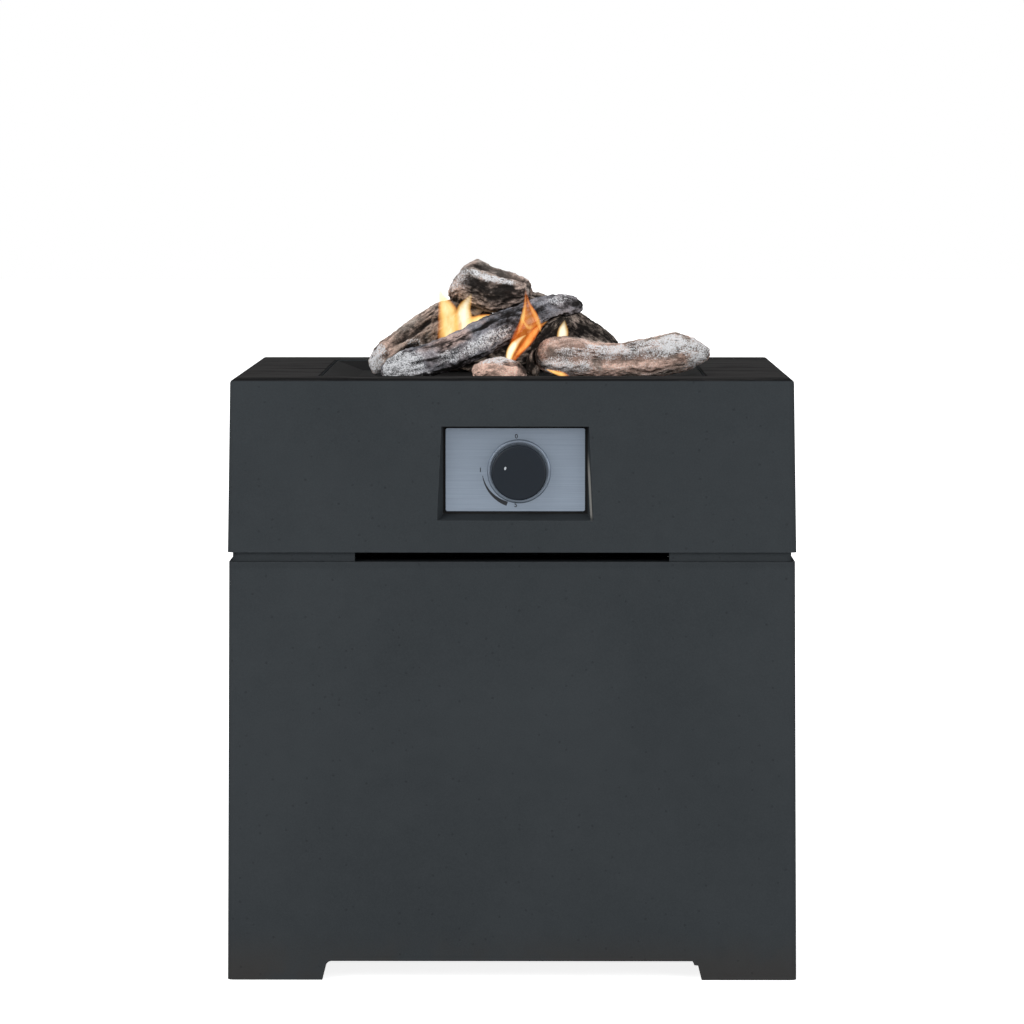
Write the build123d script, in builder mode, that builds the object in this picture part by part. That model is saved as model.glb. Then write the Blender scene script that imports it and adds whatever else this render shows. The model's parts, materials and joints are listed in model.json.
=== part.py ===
from build123d import *

import os
from math import atan2, cos, degrees, pi, radians, sin

# Floor-standing gas fire pit: a cast base block that houses the gas bottle, a cast upper
# block with the burner, its gas train and its control knob, and a stack of ceramic logs.
# Millimetres. The origin is the middle of the footprint on the floor, the front with the
# knob faces -Y, and +Z is up.

# --- Base block -------------------------------------------------------------------------
FOOT_SIDE = 600.0  # square side on the floor
BASE_HEIGHT = 442.0
BASE_LEAN = 3.0  # how far each wall leans in over the block's height
BASE_WALL = 18.0
BASE_RIM_WIDTH = 37.0  # top rim, from the outside in to the square mouth
BASE_RIM_THICKNESS = 20.0
CORNER_RADIUS = 7.0  # upright edges of both blocks
NOTCH_WIDTH = 400.0  # air notch under each wall, between the corner feet
NOTCH_HEIGHT = 20.0
NOTCH_LEAN = 5.0  # how far the notch's ends lean
NOTCH_RADIUS = 6.0

# --- Upper block ------------------------------------------------------------------------
UPPER_OVERHANG = 1.25  # how far the upper block stands out over the base block
UPPER_HEIGHT = 181.0
UPPER_LEAN = 3.0
UPPER_WALL = 18.0
TOP_EDGE_RADIUS = 4.0
SHADOW_GAP = 10.0  # height of the corner lands that keep the blocks apart
LAND_INSET = 5.0
VENT_WIDTH = 330.0  # free air slot between two lands
TOP_OPENING = 410.0  # square opening in the top that takes the burner tray
LEDGE_DEPTH = 13.0  # from the top down to the ledge that carries the tray
LEDGE_WIDTH = 15.0
LEDGE_THICKNESS = 12.0

# --- Control recess, plate and bracket --------------------------------------------------
PLATE_X = 3.4  # middle of the plate, to the right of the middle of the block
PLATE_RISE = 85.6  # middle of the plate above the upper block's underside
PLATE_WIDTH = 146.4
PLATE_HEIGHT = 87.3
PLATE_THICKNESS = 1.5
PLATE_RADIUS = 2.0
PLATE_MARGIN = 2.8  # dark border of bracket round the plate
RECESS_TOP_WIDTH = 155.0  # mouth of the recess in the front face
RECESS_BOTTOM_WIDTH = 165.0
RECESS_ABOVE = 46.4  # mouth's upper edge above the middle of the plate
RECESS_BELOW = 52.6
RECESS_OVERCUT = 3.0  # mouth's plane in front of the leaning face
PAD_THICKNESS = 3.8  # flat pad inside the front wall, on which the bracket seats
PAD_BORDER = 5.0
BRACKET_WIDTH = 190.0
BRACKET_HEIGHT = 118.0
BRACKET_FOLD = 16.0
SHEET = 1.5  # folded sheet steel
SCREW_EDGE = 7.0  # from a screw's axis to the edge of the sheet
STUD_INSET = 11.0  # plate studs, in from the plate's ends
STUD_LENGTH = 7.0

# --- Knob and gas valve -----------------------------------------------------------------
KNOB_SHIFT = 3.9  # knob axis, to the right of the plate's middle
KNOB_DROP = 1.6  # and below it
KNOB_DIAMETER = 57.6
KNOB_PROUD = 6.2  # knob face in front of the block's face
KNOB_TRAVEL = 4.0  # push to light
KNOB_CLEARANCE = 1.0  # left behind the pushed knob
KNOB_FACE = 3.0
KNOB_SKIRT = 2.6
KNOB_EDGE_RADIUS = 2.0
HUB_DIAMETER = 14.0
KNOB_RIBS = 3  # ribs right across the knob's back
RIB = 2.0
REST_ANGLE = 162.0  # pointer, counter-clockwise from +X as seen from the front
POINTER_REACH = 15.0  # pointer from the knob's axis
POINTER_LENGTH = 3.6
POINTER_WIDTH = 2.2
POINTER_DEPTH = 0.6
BEZEL_DIAMETER = 67.0
BEZEL_GAP = 0.8  # between knob and bezel
BEZEL_HEIGHT = 3.0
BEZEL_CHAMFER = 1.0
STEM_DIAMETER = 6.0
STEM_FLAT = 1.2  # depth of the flat that makes the stem a D
STEM_GAP = 0.2
NOSE_DIAMETER = 12.0  # threaded nose of the bonnet
NOSE_NUT_FLATS = 17.0
NOSE_NUT_HEIGHT = 4.0
NOSE_END = 1.0  # thread in front of its nut
BONNET_NECK = 7.5
BONNET_NECK_DIAMETER = 18.0
BONNET_FLANGE = 4.0
EAR_SPACING = 38.0  # bonnet screws
EAR_DIAMETER = 12.0
EAR_DEPTH = 8.0
VALVE_DIAMETER = 32.0
VALVE_LENGTH = 36.0
PLUG_DIAMETER = 20.0
PLUG_TAPER = 2.0  # loss of radius towards the back
PLUG_LENGTH = 29.0
PLUG_GAP = 0.3
SOCKET_DEPTH = 12.0  # socket in the plug for the stem's end
PORT_REACH = 22.0  # inlet and outlet bosses, from the valve's axis
PORT_DIAMETER = 14.0
MAGNET_DIAMETER = 16.0
MAGNET_LENGTH = 26.0
MAGNET_NUT_FLATS = 10.0
MAGNET_NUT_LENGTH = 9.0
PIEZO_WIDTH = 22.0
PIEZO_LENGTH = 30.0
PIEZO_HEIGHT = 28.0
SADDLE = 1.5  # flat on top of the valve, above the barrel

# --- Gas train --------------------------------------------------------------------------
PIPE_DIAMETER = 8.0
PIPE_BORE = 6.0
PIPE_SIDE_RUN = 70.0  # pipe's long run, to the right of the middle
PIPE_BEND = 25.0
PIPE_SEAT = 5.0  # length of pipe inside a fitting
PIPE_NUT_FLATS = 14.0
PIPE_NUT_LENGTH = 12.0
INLET_NUT_FLATS = 17.0
INLET_NUT_LENGTH = 14.0
INLET_LENGTH = 30.0
HOLDER_SIZE = 18.0
HOLDER_REACH = 16.0
CHAMFERED_CORNER = 1.5
INJECTOR_SHANK = 8.0
INJECTOR_FLATS = 11.0
INJECTOR_HEX = 4.5
INJECTOR_TIP = 5.0
INJECTOR_TIP_DIAMETER = 4.0
MIXER_DIAMETER = 24.0
MIXER_WALL = 1.5
MIXER_COLLAR = 34.0
MIXER_COLLAR_HEIGHT = 2.0
MIXER_RISE = 6.0  # mixer above the plenum's floor
AIR_HOLE = 10.0
AIR_HOLE_RISE = 12.0  # above the mixer's foot

# --- Burner -----------------------------------------------------------------------------
TRAY_GAP = 1.5  # round the tray in the opening
TRAY_RADIUS = 3.0
RIM_DROP = 1.0  # tray rim below the block's top
RIM_FALL = 9.5  # from the rim down to the deck
DECK_MARGIN = 23.0  # deck left round the burner plate
BURNER_SIDE = 300.0
BURNER_LAP = 12.0  # burner plate over the edge of the tray's opening
BURNER_RADIUS = 6.0
PAN_GAP = 2.0
PAN_SHEET = 1.0
PAN_DEPTH = 22.0
PAN_LEAN = 5.0
PORT_RINGS = ((52.0, 8), (104.0, 14))  # radius of each ring of flame ports, and how many
FLAME_PORT = 5.0
SHIELD_DROP = 14.0  # heat shield below the plenum
SHIELD_HOLE = 30.0
SHIELD_STUD_DIAMETER = 8.0
SHIELD_STUD_SPACING = 180.0
SHIELD_STUD_TAIL = 4.0  # thread below the shield

# --- Pilot, thermocouple and igniter ----------------------------------------------------
PILOT_X = -15.0
PILOT_SPACING = 20.0  # between thermocouple and electrode
PILOT_FOOT_WIDTH = 40.0
PILOT_FOOT_DEPTH = 14.0
PILOT_HEIGHT = 14.0
TIP_DIAMETER = 4.5
TIP_RISE = 26.0  # tips above the deck
TIP_LEAN = 14.0  # how far the tips lean forward, over the burner
ELECTRODE_DIAMETER = 5.0
ROD_DIAMETER = 2.0
COLLAR_HEIGHT = 5.0
COLLAR_DIAMETER = 9.0
SLEEVE_RISE = 9.0  # electrode's sleeve above the deck
ROD_BEND = 4.0
LEAD_DIAMETER = 2.0
SPARK_LEAD_DIAMETER = 2.5
LEAD_BEND = 12.0
LEAD_RUN = 26.0  # straight run behind the fitting that a lead enters
LEAD_SPACING = 12.0
CLIP_SIDE = 20.0  # clips to the left of the pilot
CLIP_SPACING = 120.0
CLIP_LENGTH = 8.0
CLIP_HEIGHT = 6.0

# --- Rear door --------------------------------------------------------------------------
DOOR_OPENING_WIDTH = 360.0
DOOR_SILL = 40.0  # opening above the floor
DOOR_HEAD = 42.0  # cast wall above the opening
FRAME_GAP = 0.5
FRAME_SHEET = 2.0
FRAME_DEPTH = 20.0
FRAME_SETBACK = 0.3  # frame behind the block's face at its top
STOP_WIDTH = 12.5
FRAME_SCREW_SPACING = 200.0
FRAME_SCREW_LENGTH = 25.0
DOOR_SETBACK = 3.5  # door face behind the frame's edge
DOOR_EDGE_GAP = 3.5  # at the hinge
DOOR_SIDE_GAP = 2.0
DOOR_FOLD = 10.5
HINGE_FROM_FACE = 5.6  # pin axis behind the door's face
HINGE_INSET = 9.0  # pin axis from the frame
HINGE_PIN = 5.0
HINGE_PIN_LENGTH = 12.0
BUSH_WALL = 1.0
BUSH_GAP = 0.2
BUSH_FLANGE_WIDTH = 1.2
BUSH_LENGTH = 5.0
PULL_DIAMETER = 26.0
PULL_NECK = 12.0
PULL_DEPTH = 9.5
PULL_CHAMFER = 1.6
PULL_INSET = 30.0
CATCH_WIDTH = 8.0
CATCH_LENGTH = 40.0
CATCH_GAP = 1.0  # between the catch and the door's fold
STRIKE_THICKNESS = 1.5

# --- Fasteners --------------------------------------------------------------------------
M3 = 3.0
M4 = 4.0
M3_FLATS = 5.5
M3_NUT = 2.4
M4_FLATS = 7.0
M4_HEAD = 2.8
M4_COUNTERSINK = 8.0
HOLE_GAP = 0.3  # hole wider than its screw
SCREW_LENGTH = 10.0

# --- Ceramic logs -----------------------------------------------------------------------
LOG_SIDES = 12
LOG_DIVISIONS = 300  # the logs are laid out in divisions of the burner's side

# Gap left between pieces that rest on or run in one another
RUNNING_GAP = 0.3

# Levels and widths that follow from the sizes above
base_top_side = FOOT_SIDE - 2 * BASE_LEAN
base_mouth = base_top_side - 2 * BASE_RIM_WIDTH
base_rim_z = BASE_HEIGHT - BASE_RIM_THICKNESS
upper_side = base_top_side + 2 * UPPER_OVERHANG
upper_top_side = upper_side - 2 * UPPER_LEAN
upper_z = BASE_HEIGHT + SHADOW_GAP
top_z = upper_z + UPPER_HEIGHT
ledge_z = top_z - LEDGE_DEPTH
ceiling_z = ledge_z - LEDGE_THICKNESS

plate_z = upper_z + PLATE_RISE
face_y = -(upper_side / 2 - UPPER_LEAN * PLATE_RISE / UPPER_HEIGHT)
pad_y = face_y + UPPER_WALL + PAD_THICKNESS
plate_y = pad_y - PLATE_THICKNESS
bracket_y = pad_y + SHEET
knob_x = PLATE_X + KNOB_SHIFT
knob_z = plate_z - KNOB_DROP
knob_front_y = face_y - KNOB_PROUD
knob_back_y = plate_y - KNOB_TRAVEL - KNOB_CLEARANCE
nose_y = plate_y - NOSE_NUT_HEIGHT - NOSE_END
hub_y = nose_y - KNOB_TRAVEL - KNOB_CLEARANCE
bonnet_y = bracket_y + BONNET_NECK
valve_y = bonnet_y + BONNET_FLANGE
valve_back_y = valve_y + VALVE_LENGTH
ports_y = valve_y + VALVE_LENGTH / 2
plug_y = valve_y + PLUG_GAP
stem_end_y = plug_y + SOCKET_DEPTH - KNOB_TRAVEL - KNOB_CLEARANCE
magnet_y = valve_back_y + MAGNET_LENGTH
magnet_end_y = magnet_y + MAGNET_NUT_LENGTH
piezo_z = knob_z + VALVE_DIAMETER / 2 + SADDLE

tray_side = TOP_OPENING - 2 * TRAY_GAP
rim_z = top_z - RIM_DROP
deck_z = rim_z - RIM_FALL
deck_side = BURNER_SIDE + 2 * DECK_MARGIN
burner_opening = BURNER_SIDE - 2 * BURNER_LAP
burner_z = deck_z + PAN_SHEET  # underside of the burner plate
seat_z = burner_z + SHEET  # top of the burner plate, where logs stand
pan_z = seat_z - SHEET - PAN_SHEET - PAN_DEPTH
pan_side = burner_opening - 2 * PAN_GAP
burner_screw_spacing = BURNER_SIDE - 2 * SCREW_EDGE
shield_z = pan_z - SHIELD_DROP
shield_side = BURNER_SIDE
holder_z = knob_z + HOLDER_SIZE / 2  # top of the injector holder, foot of the mixer
pilot_y = (BURNER_SIDE + DECK_MARGIN) / 2

back_y = FOOT_SIDE / 2
door_opening_height = BASE_HEIGHT - DOOR_SILL - DOOR_HEAD
frame_front_y = base_top_side / 2 - FRAME_SETBACK
frame_back_y = frame_front_y - FRAME_DEPTH
frame_width = DOOR_OPENING_WIDTH - 2 * FRAME_GAP
frame_height = door_opening_height - 2 * FRAME_GAP
door_mid_z = DOOR_SILL + door_opening_height / 2
frame_inner = frame_width / 2 - FRAME_SHEET
frame_inner_height = frame_height / 2 - FRAME_SHEET
door_face_y = frame_front_y - DOOR_SETBACK
frame_screw_y = (frame_front_y + frame_back_y) / 2
hinge_x = frame_inner - HINGE_INSET
hinge_y = door_face_y - HINGE_FROM_FACE
door_right = frame_inner - DOOR_EDGE_GAP
door_left = -frame_inner + DOOR_SIDE_GAP
door_top = frame_inner_height - DOOR_SIDE_GAP
bush_diameter = HINGE_PIN + 2 * (BUSH_GAP + BUSH_WALL)
bush_flange = DOOR_SIDE_GAP - RUNNING_GAP
pull_x = door_left + PULL_INSET
catch_x = door_left + SHEET + CATCH_GAP + CATCH_WIDTH / 2


def front_plane(y, x=0.0, z=0.0):
    """Upright plane that faces the front, with +X to its right and +Z up."""
    return Plane(origin=(x, y, z), x_dir=(1, 0, 0), z_dir=(0, -1, 0))


def right_plane(x, y=0.0, z=0.0):
    """Upright plane that faces +X, with +Y to its right and +Z up."""
    return Plane(origin=(x, y, z), x_dir=(0, 1, 0), z_dir=(1, 0, 0))


def flat_plane(z, x=0.0, y=0.0):
    """Level plane that faces up."""
    return Plane(origin=(x, y, z))


def jamb_plane(side, rise):
    """Plane on the inside of the door frame's left or right member, facing the wall."""
    return Plane(
        origin=(side * frame_inner, frame_screw_y, door_mid_z + rise), z_dir=(side, 0, 0)
    )


def rod(plane, diameter, length, at=((0, 0),), mode=Mode.ADD):
    """Round bars that stand on a plane, one at each place."""
    with BuildSketch(plane) as profile:
        with Locations(*at):
            Circle(diameter / 2)
    extrude(profile.sketch, amount=length, mode=mode)


def hex_bar(plane, flats, length, at=((0, 0),), mode=Mode.ADD):
    """Hexagon bars of a spanner size that stand on a plane, one at each place."""
    with BuildSketch(plane) as profile:
        with Locations(*at):
            RegularPolygon(flats / 2, 6, major_radius=False)
    extrude(profile.sketch, amount=length, mode=mode)


def slab(plane, width, height, length, radius=0.0, mode=Mode.ADD):
    """Block on a plane, with rounded upright edges when a radius is given."""
    with BuildSketch(plane) as profile:
        if radius:
            RectangleRounded(width, height, radius)
        else:
            Rectangle(width, height)
    extrude(profile.sketch, amount=length, mode=mode)


def drafted_block(low_z, low_side, high_z, high_side, radius=0.0, mode=Mode.ADD):
    """Square block whose four walls lean alike, as a mould leaves them."""
    sections = []
    for z, side in ((low_z, low_side), (high_z, high_side)):
        with BuildSketch(flat_plane(z)) as section:
            if radius:
                RectangleRounded(side, side, radius)
            else:
                Rectangle(side, side)
        sections.append(section.sketch)
    loft(sections=sections, mode=mode)


def d_profile(plane, diameter, length, mode=Mode.ADD):
    """Round bar with one flat, the drive section of the valve stem."""
    with BuildSketch(plane) as profile:
        Circle(diameter / 2)
        with Locations((0, -diameter + STEM_FLAT)):
            Rectangle(diameter, diameter, mode=Mode.SUBTRACT)
    extrude(profile.sketch, amount=length, mode=mode)


def tube_along(points, bend, diameter):
    """Round wire or pipe along straight runs joined by tangent arcs."""
    with BuildPart() as tube:
        with BuildLine() as path:
            FilletPolyline(*points, radius=bend)
        with BuildSketch(Plane(origin=path.line @ 0, z_dir=path.line % 0)):
            Circle(diameter / 2)
        sweep()
    return tube.part


def write_step(piece, name):
    """Label a finished sub-part and write its STEP file."""
    piece.part.label = name
    export_step(piece.part, f"parts/{name}.step")


def grid(width, height):
    """The four corners of a rectangle."""
    return tuple((x, y) for x in (-width / 2, width / 2) for y in (-height / 2, height / 2))


os.makedirs("parts", exist_ok=True)

# Places of the fasteners, each in the plane of the sheet that they hold
bracket_screws_at = grid(BRACKET_WIDTH - 2 * SCREW_EDGE, BRACKET_HEIGHT - 2 * SCREW_EDGE)
studs_at = grid(PLATE_WIDTH - 2 * STUD_INSET, PLATE_HEIGHT - 2 * STUD_INSET)
ears_at = ((-EAR_SPACING / 2, 0), (EAR_SPACING / 2, 0))
shield_studs_at = grid(SHIELD_STUD_SPACING, SHIELD_STUD_SPACING)
frame_screws_at = ((0, -FRAME_SCREW_SPACING / 2), (0, FRAME_SCREW_SPACING / 2))
burner_screws_at = grid(burner_screw_spacing, burner_screw_spacing) + tuple(
    (burner_screw_spacing / 2 * cos(turn * pi / 2), burner_screw_spacing / 2 * sin(turn * pi / 2))
    for turn in range(4)
)
pilot_at = ((PILOT_X - PILOT_SPACING / 2, pilot_y), (PILOT_X + PILOT_SPACING / 2, pilot_y))

# Base block: drafted square tube on four corner feet, closed at the top by a rim
with BuildPart() as base_shell:
    drafted_block(0, FOOT_SIDE, BASE_HEIGHT, base_top_side, CORNER_RADIUS)
    core_side = FOOT_SIDE - 2 * BASE_WALL
    core_top_side = core_side - 2 * BASE_LEAN * base_rim_z / BASE_HEIGHT
    drafted_block(0, core_side, base_rim_z, core_top_side, mode=Mode.SUBTRACT)
    slab(flat_plane(base_rim_z), base_mouth, base_mouth, BASE_RIM_THICKNESS,
         CORNER_RADIUS, Mode.SUBTRACT)
    for plane in (Plane.XZ, Plane.YZ):
        with BuildSketch(plane) as notch:
            Trapezoid(NOTCH_WIDTH, NOTCH_HEIGHT, degrees(atan2(NOTCH_HEIGHT, NOTCH_LEAN)),
                      align=(Align.CENTER, Align.MIN))
            fillet(notch.vertices().group_by(Axis.Y)[-1], NOTCH_RADIUS)
        extrude(amount=FOOT_SIDE, both=True, mode=Mode.SUBTRACT)
    slab(front_plane(back_y, z=door_mid_z), DOOR_OPENING_WIDTH, door_opening_height,
         2 * BASE_WALL, mode=Mode.SUBTRACT)
    with BuildSketch(right_plane(0, frame_screw_y, door_mid_z)):
        with Locations(*frame_screws_at):
            Circle((M4 + HOLE_GAP) / 2)
    extrude(amount=frame_inner + FRAME_SCREW_LENGTH + HOLE_GAP, both=True, mode=Mode.SUBTRACT)
write_step(base_shell, "base_shell")

# Upper block: drafted cap on four corner lands, open above for the burner tray, with a
# drafted recess in front for the control plate and a flat pad behind it
with BuildPart() as upper_shell:
    drafted_block(upper_z, upper_side, top_z, upper_top_side, CORNER_RADIUS)
    fillet(upper_shell.faces().sort_by(Axis.Z)[-1].edges(), TOP_EDGE_RADIUS)
    core_side = upper_side - 2 * UPPER_WALL
    core_top_side = core_side - 2 * UPPER_LEAN * (ceiling_z - upper_z) / UPPER_HEIGHT
    land_side = upper_side - 2 * LAND_INSET
    with BuildSketch(flat_plane(BASE_HEIGHT)):
        RectangleRounded(land_side, land_side, CORNER_RADIUS)
        Rectangle(core_side, core_side, mode=Mode.SUBTRACT)
        Rectangle(VENT_WIDTH, upper_side, mode=Mode.SUBTRACT)
        Rectangle(upper_side, VENT_WIDTH, mode=Mode.SUBTRACT)
    extrude(amount=SHADOW_GAP)
    drafted_block(upper_z, core_side, ceiling_z, core_top_side, mode=Mode.SUBTRACT)
    slab(flat_plane(ledge_z), TOP_OPENING, TOP_OPENING, LEDGE_DEPTH, TRAY_RADIUS,
         Mode.SUBTRACT)
    ledge_opening = TOP_OPENING - 2 * LEDGE_WIDTH
    slab(flat_plane(ceiling_z), ledge_opening, ledge_opening, LEDGE_THICKNESS,
         mode=Mode.SUBTRACT)
    slab(front_plane(pad_y, PLATE_X, plate_z), BRACKET_WIDTH + 2 * PAD_BORDER,
         BRACKET_HEIGHT + 2 * PAD_BORDER, PAD_THICKNESS + UPPER_WALL / 2)
    with BuildSketch(front_plane(pad_y, PLATE_X, plate_z)) as recess_floor:
        Rectangle(PLATE_WIDTH + 2 * PLATE_MARGIN, PLATE_HEIGHT + 2 * PLATE_MARGIN)
    with BuildSketch(front_plane(face_y - RECESS_OVERCUT, PLATE_X, plate_z)) as recess_mouth:
        with BuildLine():
            Polyline(
                (-RECESS_BOTTOM_WIDTH / 2, -RECESS_BELOW),
                (RECESS_BOTTOM_WIDTH / 2, -RECESS_BELOW),
                (RECESS_TOP_WIDTH / 2, RECESS_ABOVE),
                (-RECESS_TOP_WIDTH / 2, RECESS_ABOVE),
                close=True,
            )
        make_face()
    loft(sections=[recess_floor.sketch, recess_mouth.sketch], ruled=True, mode=Mode.SUBTRACT)
    rod(front_plane(pad_y, PLATE_X, plate_z), M4 + HOLE_GAP, SCREW_LENGTH, bracket_screws_at,
        Mode.SUBTRACT)
write_step(upper_shell, "upper_shell")

# Burner tray: folded sheet dish, whose skirt stands on the ledge of the upper block
with BuildPart() as burner_tray:
    dish_side = tray_side - 2 * SHEET
    skirt_height = rim_z - ledge_z
    slab(flat_plane(ledge_z), tray_side, tray_side, skirt_height, TRAY_RADIUS)
    slab(flat_plane(ledge_z), dish_side, dish_side, skirt_height - SHEET, mode=Mode.SUBTRACT)
    drafted_block(deck_z - SHEET, deck_side, rim_z - SHEET, dish_side)
    drafted_block(deck_z, deck_side, rim_z, dish_side, mode=Mode.SUBTRACT)
    slab(flat_plane(deck_z - SHEET), burner_opening, burner_opening, SHEET,
         mode=Mode.SUBTRACT)
    rod(flat_plane(deck_z - SHEET), M4 + HOLE_GAP, SHEET, burner_screws_at, Mode.SUBTRACT)
    rod(flat_plane(deck_z - SHEET), ELECTRODE_DIAMETER + HOLE_GAP, SHEET, pilot_at,
        Mode.SUBTRACT)
write_step(burner_tray, "burner_tray")

# Plenum pan: pressed dish that feeds gas and air to the ports, flanged onto the deck
with BuildPart() as plenum_pan:
    floor_side = pan_side - 2 * PAN_LEAN
    slab(flat_plane(deck_z), BURNER_SIDE, BURNER_SIDE, PAN_SHEET, BURNER_RADIUS)
    drafted_block(pan_z, floor_side, burner_z, pan_side, BURNER_RADIUS)
    drafted_block(pan_z + PAN_SHEET, floor_side - 2 * PAN_SHEET, burner_z,
                  pan_side - 2 * PAN_SHEET, BURNER_RADIUS, Mode.SUBTRACT)
    rod(flat_plane(pan_z), MIXER_DIAMETER + HOLE_GAP, PAN_SHEET, mode=Mode.SUBTRACT)
    rod(flat_plane(deck_z), M4 + HOLE_GAP, PAN_SHEET, burner_screws_at, Mode.SUBTRACT)
write_step(plenum_pan, "plenum_pan")

# Burner plate: flat lid of the plenum with rings of flame ports
with BuildPart() as burner_plate:
    slab(flat_plane(burner_z), BURNER_SIDE, BURNER_SIDE, SHEET, BURNER_RADIUS)
    with BuildSketch(flat_plane(burner_z)):
        for ring_radius, ports in PORT_RINGS:
            with PolarLocations(ring_radius, ports):
                Circle(FLAME_PORT / 2)
        with Locations(*burner_screws_at):
            Circle((M4 + HOLE_GAP) / 2)
    extrude(amount=SHEET, mode=Mode.SUBTRACT)
write_step(burner_plate, "burner_plate")

# Burner screws: hexagon heads on the plate, shanks down through pan and deck
with BuildPart() as burner_screws:
    rod(flat_plane(seat_z - SCREW_LENGTH), M4, SCREW_LENGTH, burner_screws_at)
    hex_bar(flat_plane(seat_z), M4_FLATS, M4_HEAD, burner_screws_at)
write_step(burner_screws, "burner_screws")

# Mixer tube: upright venturi with four air holes, closed at its foot round the injector
with BuildPart() as mixer_tube:
    mixer_height = pan_z + PAN_SHEET + MIXER_RISE - holder_z
    rod(flat_plane(holder_z), MIXER_DIAMETER, mixer_height)
    rod(flat_plane(pan_z - MIXER_COLLAR_HEIGHT), MIXER_COLLAR, MIXER_COLLAR_HEIGHT)
    rod(flat_plane(holder_z + MIXER_WALL), MIXER_DIAMETER - 2 * MIXER_WALL, mixer_height,
        mode=Mode.SUBTRACT)
    rod(flat_plane(holder_z), INJECTOR_SHANK + HOLE_GAP, MIXER_WALL, mode=Mode.SUBTRACT)
    for plane in (Plane.XZ, Plane.YZ):
        with BuildSketch(plane):
            with Locations((0, holder_z + AIR_HOLE_RISE)):
                Circle(AIR_HOLE / 2)
        extrude(amount=MIXER_DIAMETER, both=True, mode=Mode.SUBTRACT)
write_step(mixer_tube, "mixer_tube")

# Injector: brass jet, screwed down through the mixer's foot into its holder
with BuildPart() as injector:
    rod(flat_plane(holder_z - INJECTOR_SHANK), INJECTOR_SHANK, INJECTOR_SHANK + MIXER_WALL)
    hex_bar(flat_plane(holder_z + MIXER_WALL), INJECTOR_FLATS, INJECTOR_HEX)
    tip_plane = flat_plane(holder_z + MIXER_WALL + INJECTOR_HEX)
    with Locations(tip_plane):
        Cone(INJECTOR_SHANK / 2, INJECTOR_TIP_DIAMETER / 2, INJECTOR_TIP,
             align=(Align.CENTER, Align.CENTER, Align.MIN))
write_step(injector, "injector")

# Injector holder: brass elbow block between the gas pipe and the injector
with BuildPart() as injector_holder:
    slab(flat_plane(holder_z - HOLDER_SIZE), HOLDER_SIZE, HOLDER_SIZE, HOLDER_SIZE,
         CHAMFERED_CORNER)
    rod(right_plane(0, 0, knob_z), PORT_DIAMETER, HOLDER_REACH)
    rod(right_plane(HOLDER_REACH - PIPE_SEAT, 0, knob_z), PIPE_DIAMETER + HOLE_GAP, PIPE_SEAT,
        mode=Mode.SUBTRACT)
    rod(flat_plane(holder_z - INJECTOR_SHANK - HOLE_GAP), INJECTOR_SHANK + HOLE_GAP,
        INJECTOR_SHANK + HOLE_GAP, mode=Mode.SUBTRACT)
write_step(injector_holder, "injector_holder")

# Gas pipe: level loop from the valve's outlet round to the middle of the burner
pipe_start_x = knob_x + PORT_REACH - PIPE_SEAT + RUNNING_GAP
pipe_end_x = HOLDER_REACH - PIPE_SEAT + RUNNING_GAP
with BuildPart() as gas_pipe:
    add(tube_along(
        (
            (pipe_start_x, ports_y, knob_z),
            (PIPE_SIDE_RUN, ports_y, knob_z),
            (PIPE_SIDE_RUN, 0, knob_z),
            (pipe_end_x, 0, knob_z),
        ),
        PIPE_BEND, PIPE_DIAMETER,
    ))
write_step(gas_pipe, "gas_pipe")

# Pipe nuts: one at the valve, one at the injector holder
with BuildPart() as pipe_nuts:
    for nut_plane in (right_plane(knob_x + PORT_REACH, ports_y, knob_z),
                      right_plane(HOLDER_REACH, 0, knob_z)):
        hex_bar(nut_plane, PIPE_NUT_FLATS, PIPE_NUT_LENGTH)
        rod(nut_plane, PIPE_DIAMETER + HOLE_GAP, PIPE_NUT_LENGTH, mode=Mode.SUBTRACT)
write_step(pipe_nuts, "pipe_nuts")

# Valve body: forged barrel with two ears, an outlet to the right, an inlet below, a saddle
# for the igniter on top and a tapered bore for the plug
with BuildPart() as valve_body:
    rod(front_plane(valve_back_y, knob_x, knob_z), VALVE_DIAMETER, VALVE_LENGTH)
    with BuildSketch(front_plane(valve_y + EAR_DEPTH, knob_x, knob_z)):
        SlotCenterToCenter(EAR_SPACING, EAR_DIAMETER)
    extrude(amount=EAR_DEPTH)
    rod(right_plane(knob_x, ports_y, knob_z), PORT_DIAMETER, PORT_REACH)
    rod(flat_plane(knob_z - PORT_REACH, knob_x, ports_y), PORT_DIAMETER, PORT_REACH)
    slab(flat_plane(knob_z, knob_x, ports_y), PIEZO_WIDTH, PIEZO_LENGTH,
         VALVE_DIAMETER / 2 + SADDLE)
    with Locations(front_plane(plug_y + PLUG_LENGTH + PLUG_GAP, knob_x, knob_z)):
        Cone(PLUG_DIAMETER / 2 - PLUG_TAPER + PLUG_GAP, PLUG_DIAMETER / 2 + PLUG_GAP,
             PLUG_LENGTH + 2 * PLUG_GAP, align=(Align.CENTER, Align.CENTER, Align.MIN),
             mode=Mode.SUBTRACT)
    rod(front_plane(valve_y + EAR_DEPTH, knob_x, knob_z), M4 + HOLE_GAP, EAR_DEPTH, ears_at,
        Mode.SUBTRACT)
    rod(right_plane(knob_x + PORT_REACH - PIPE_SEAT, ports_y, knob_z),
        PIPE_DIAMETER + HOLE_GAP, PIPE_SEAT, mode=Mode.SUBTRACT)
write_step(valve_body, "valve_body")

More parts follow.
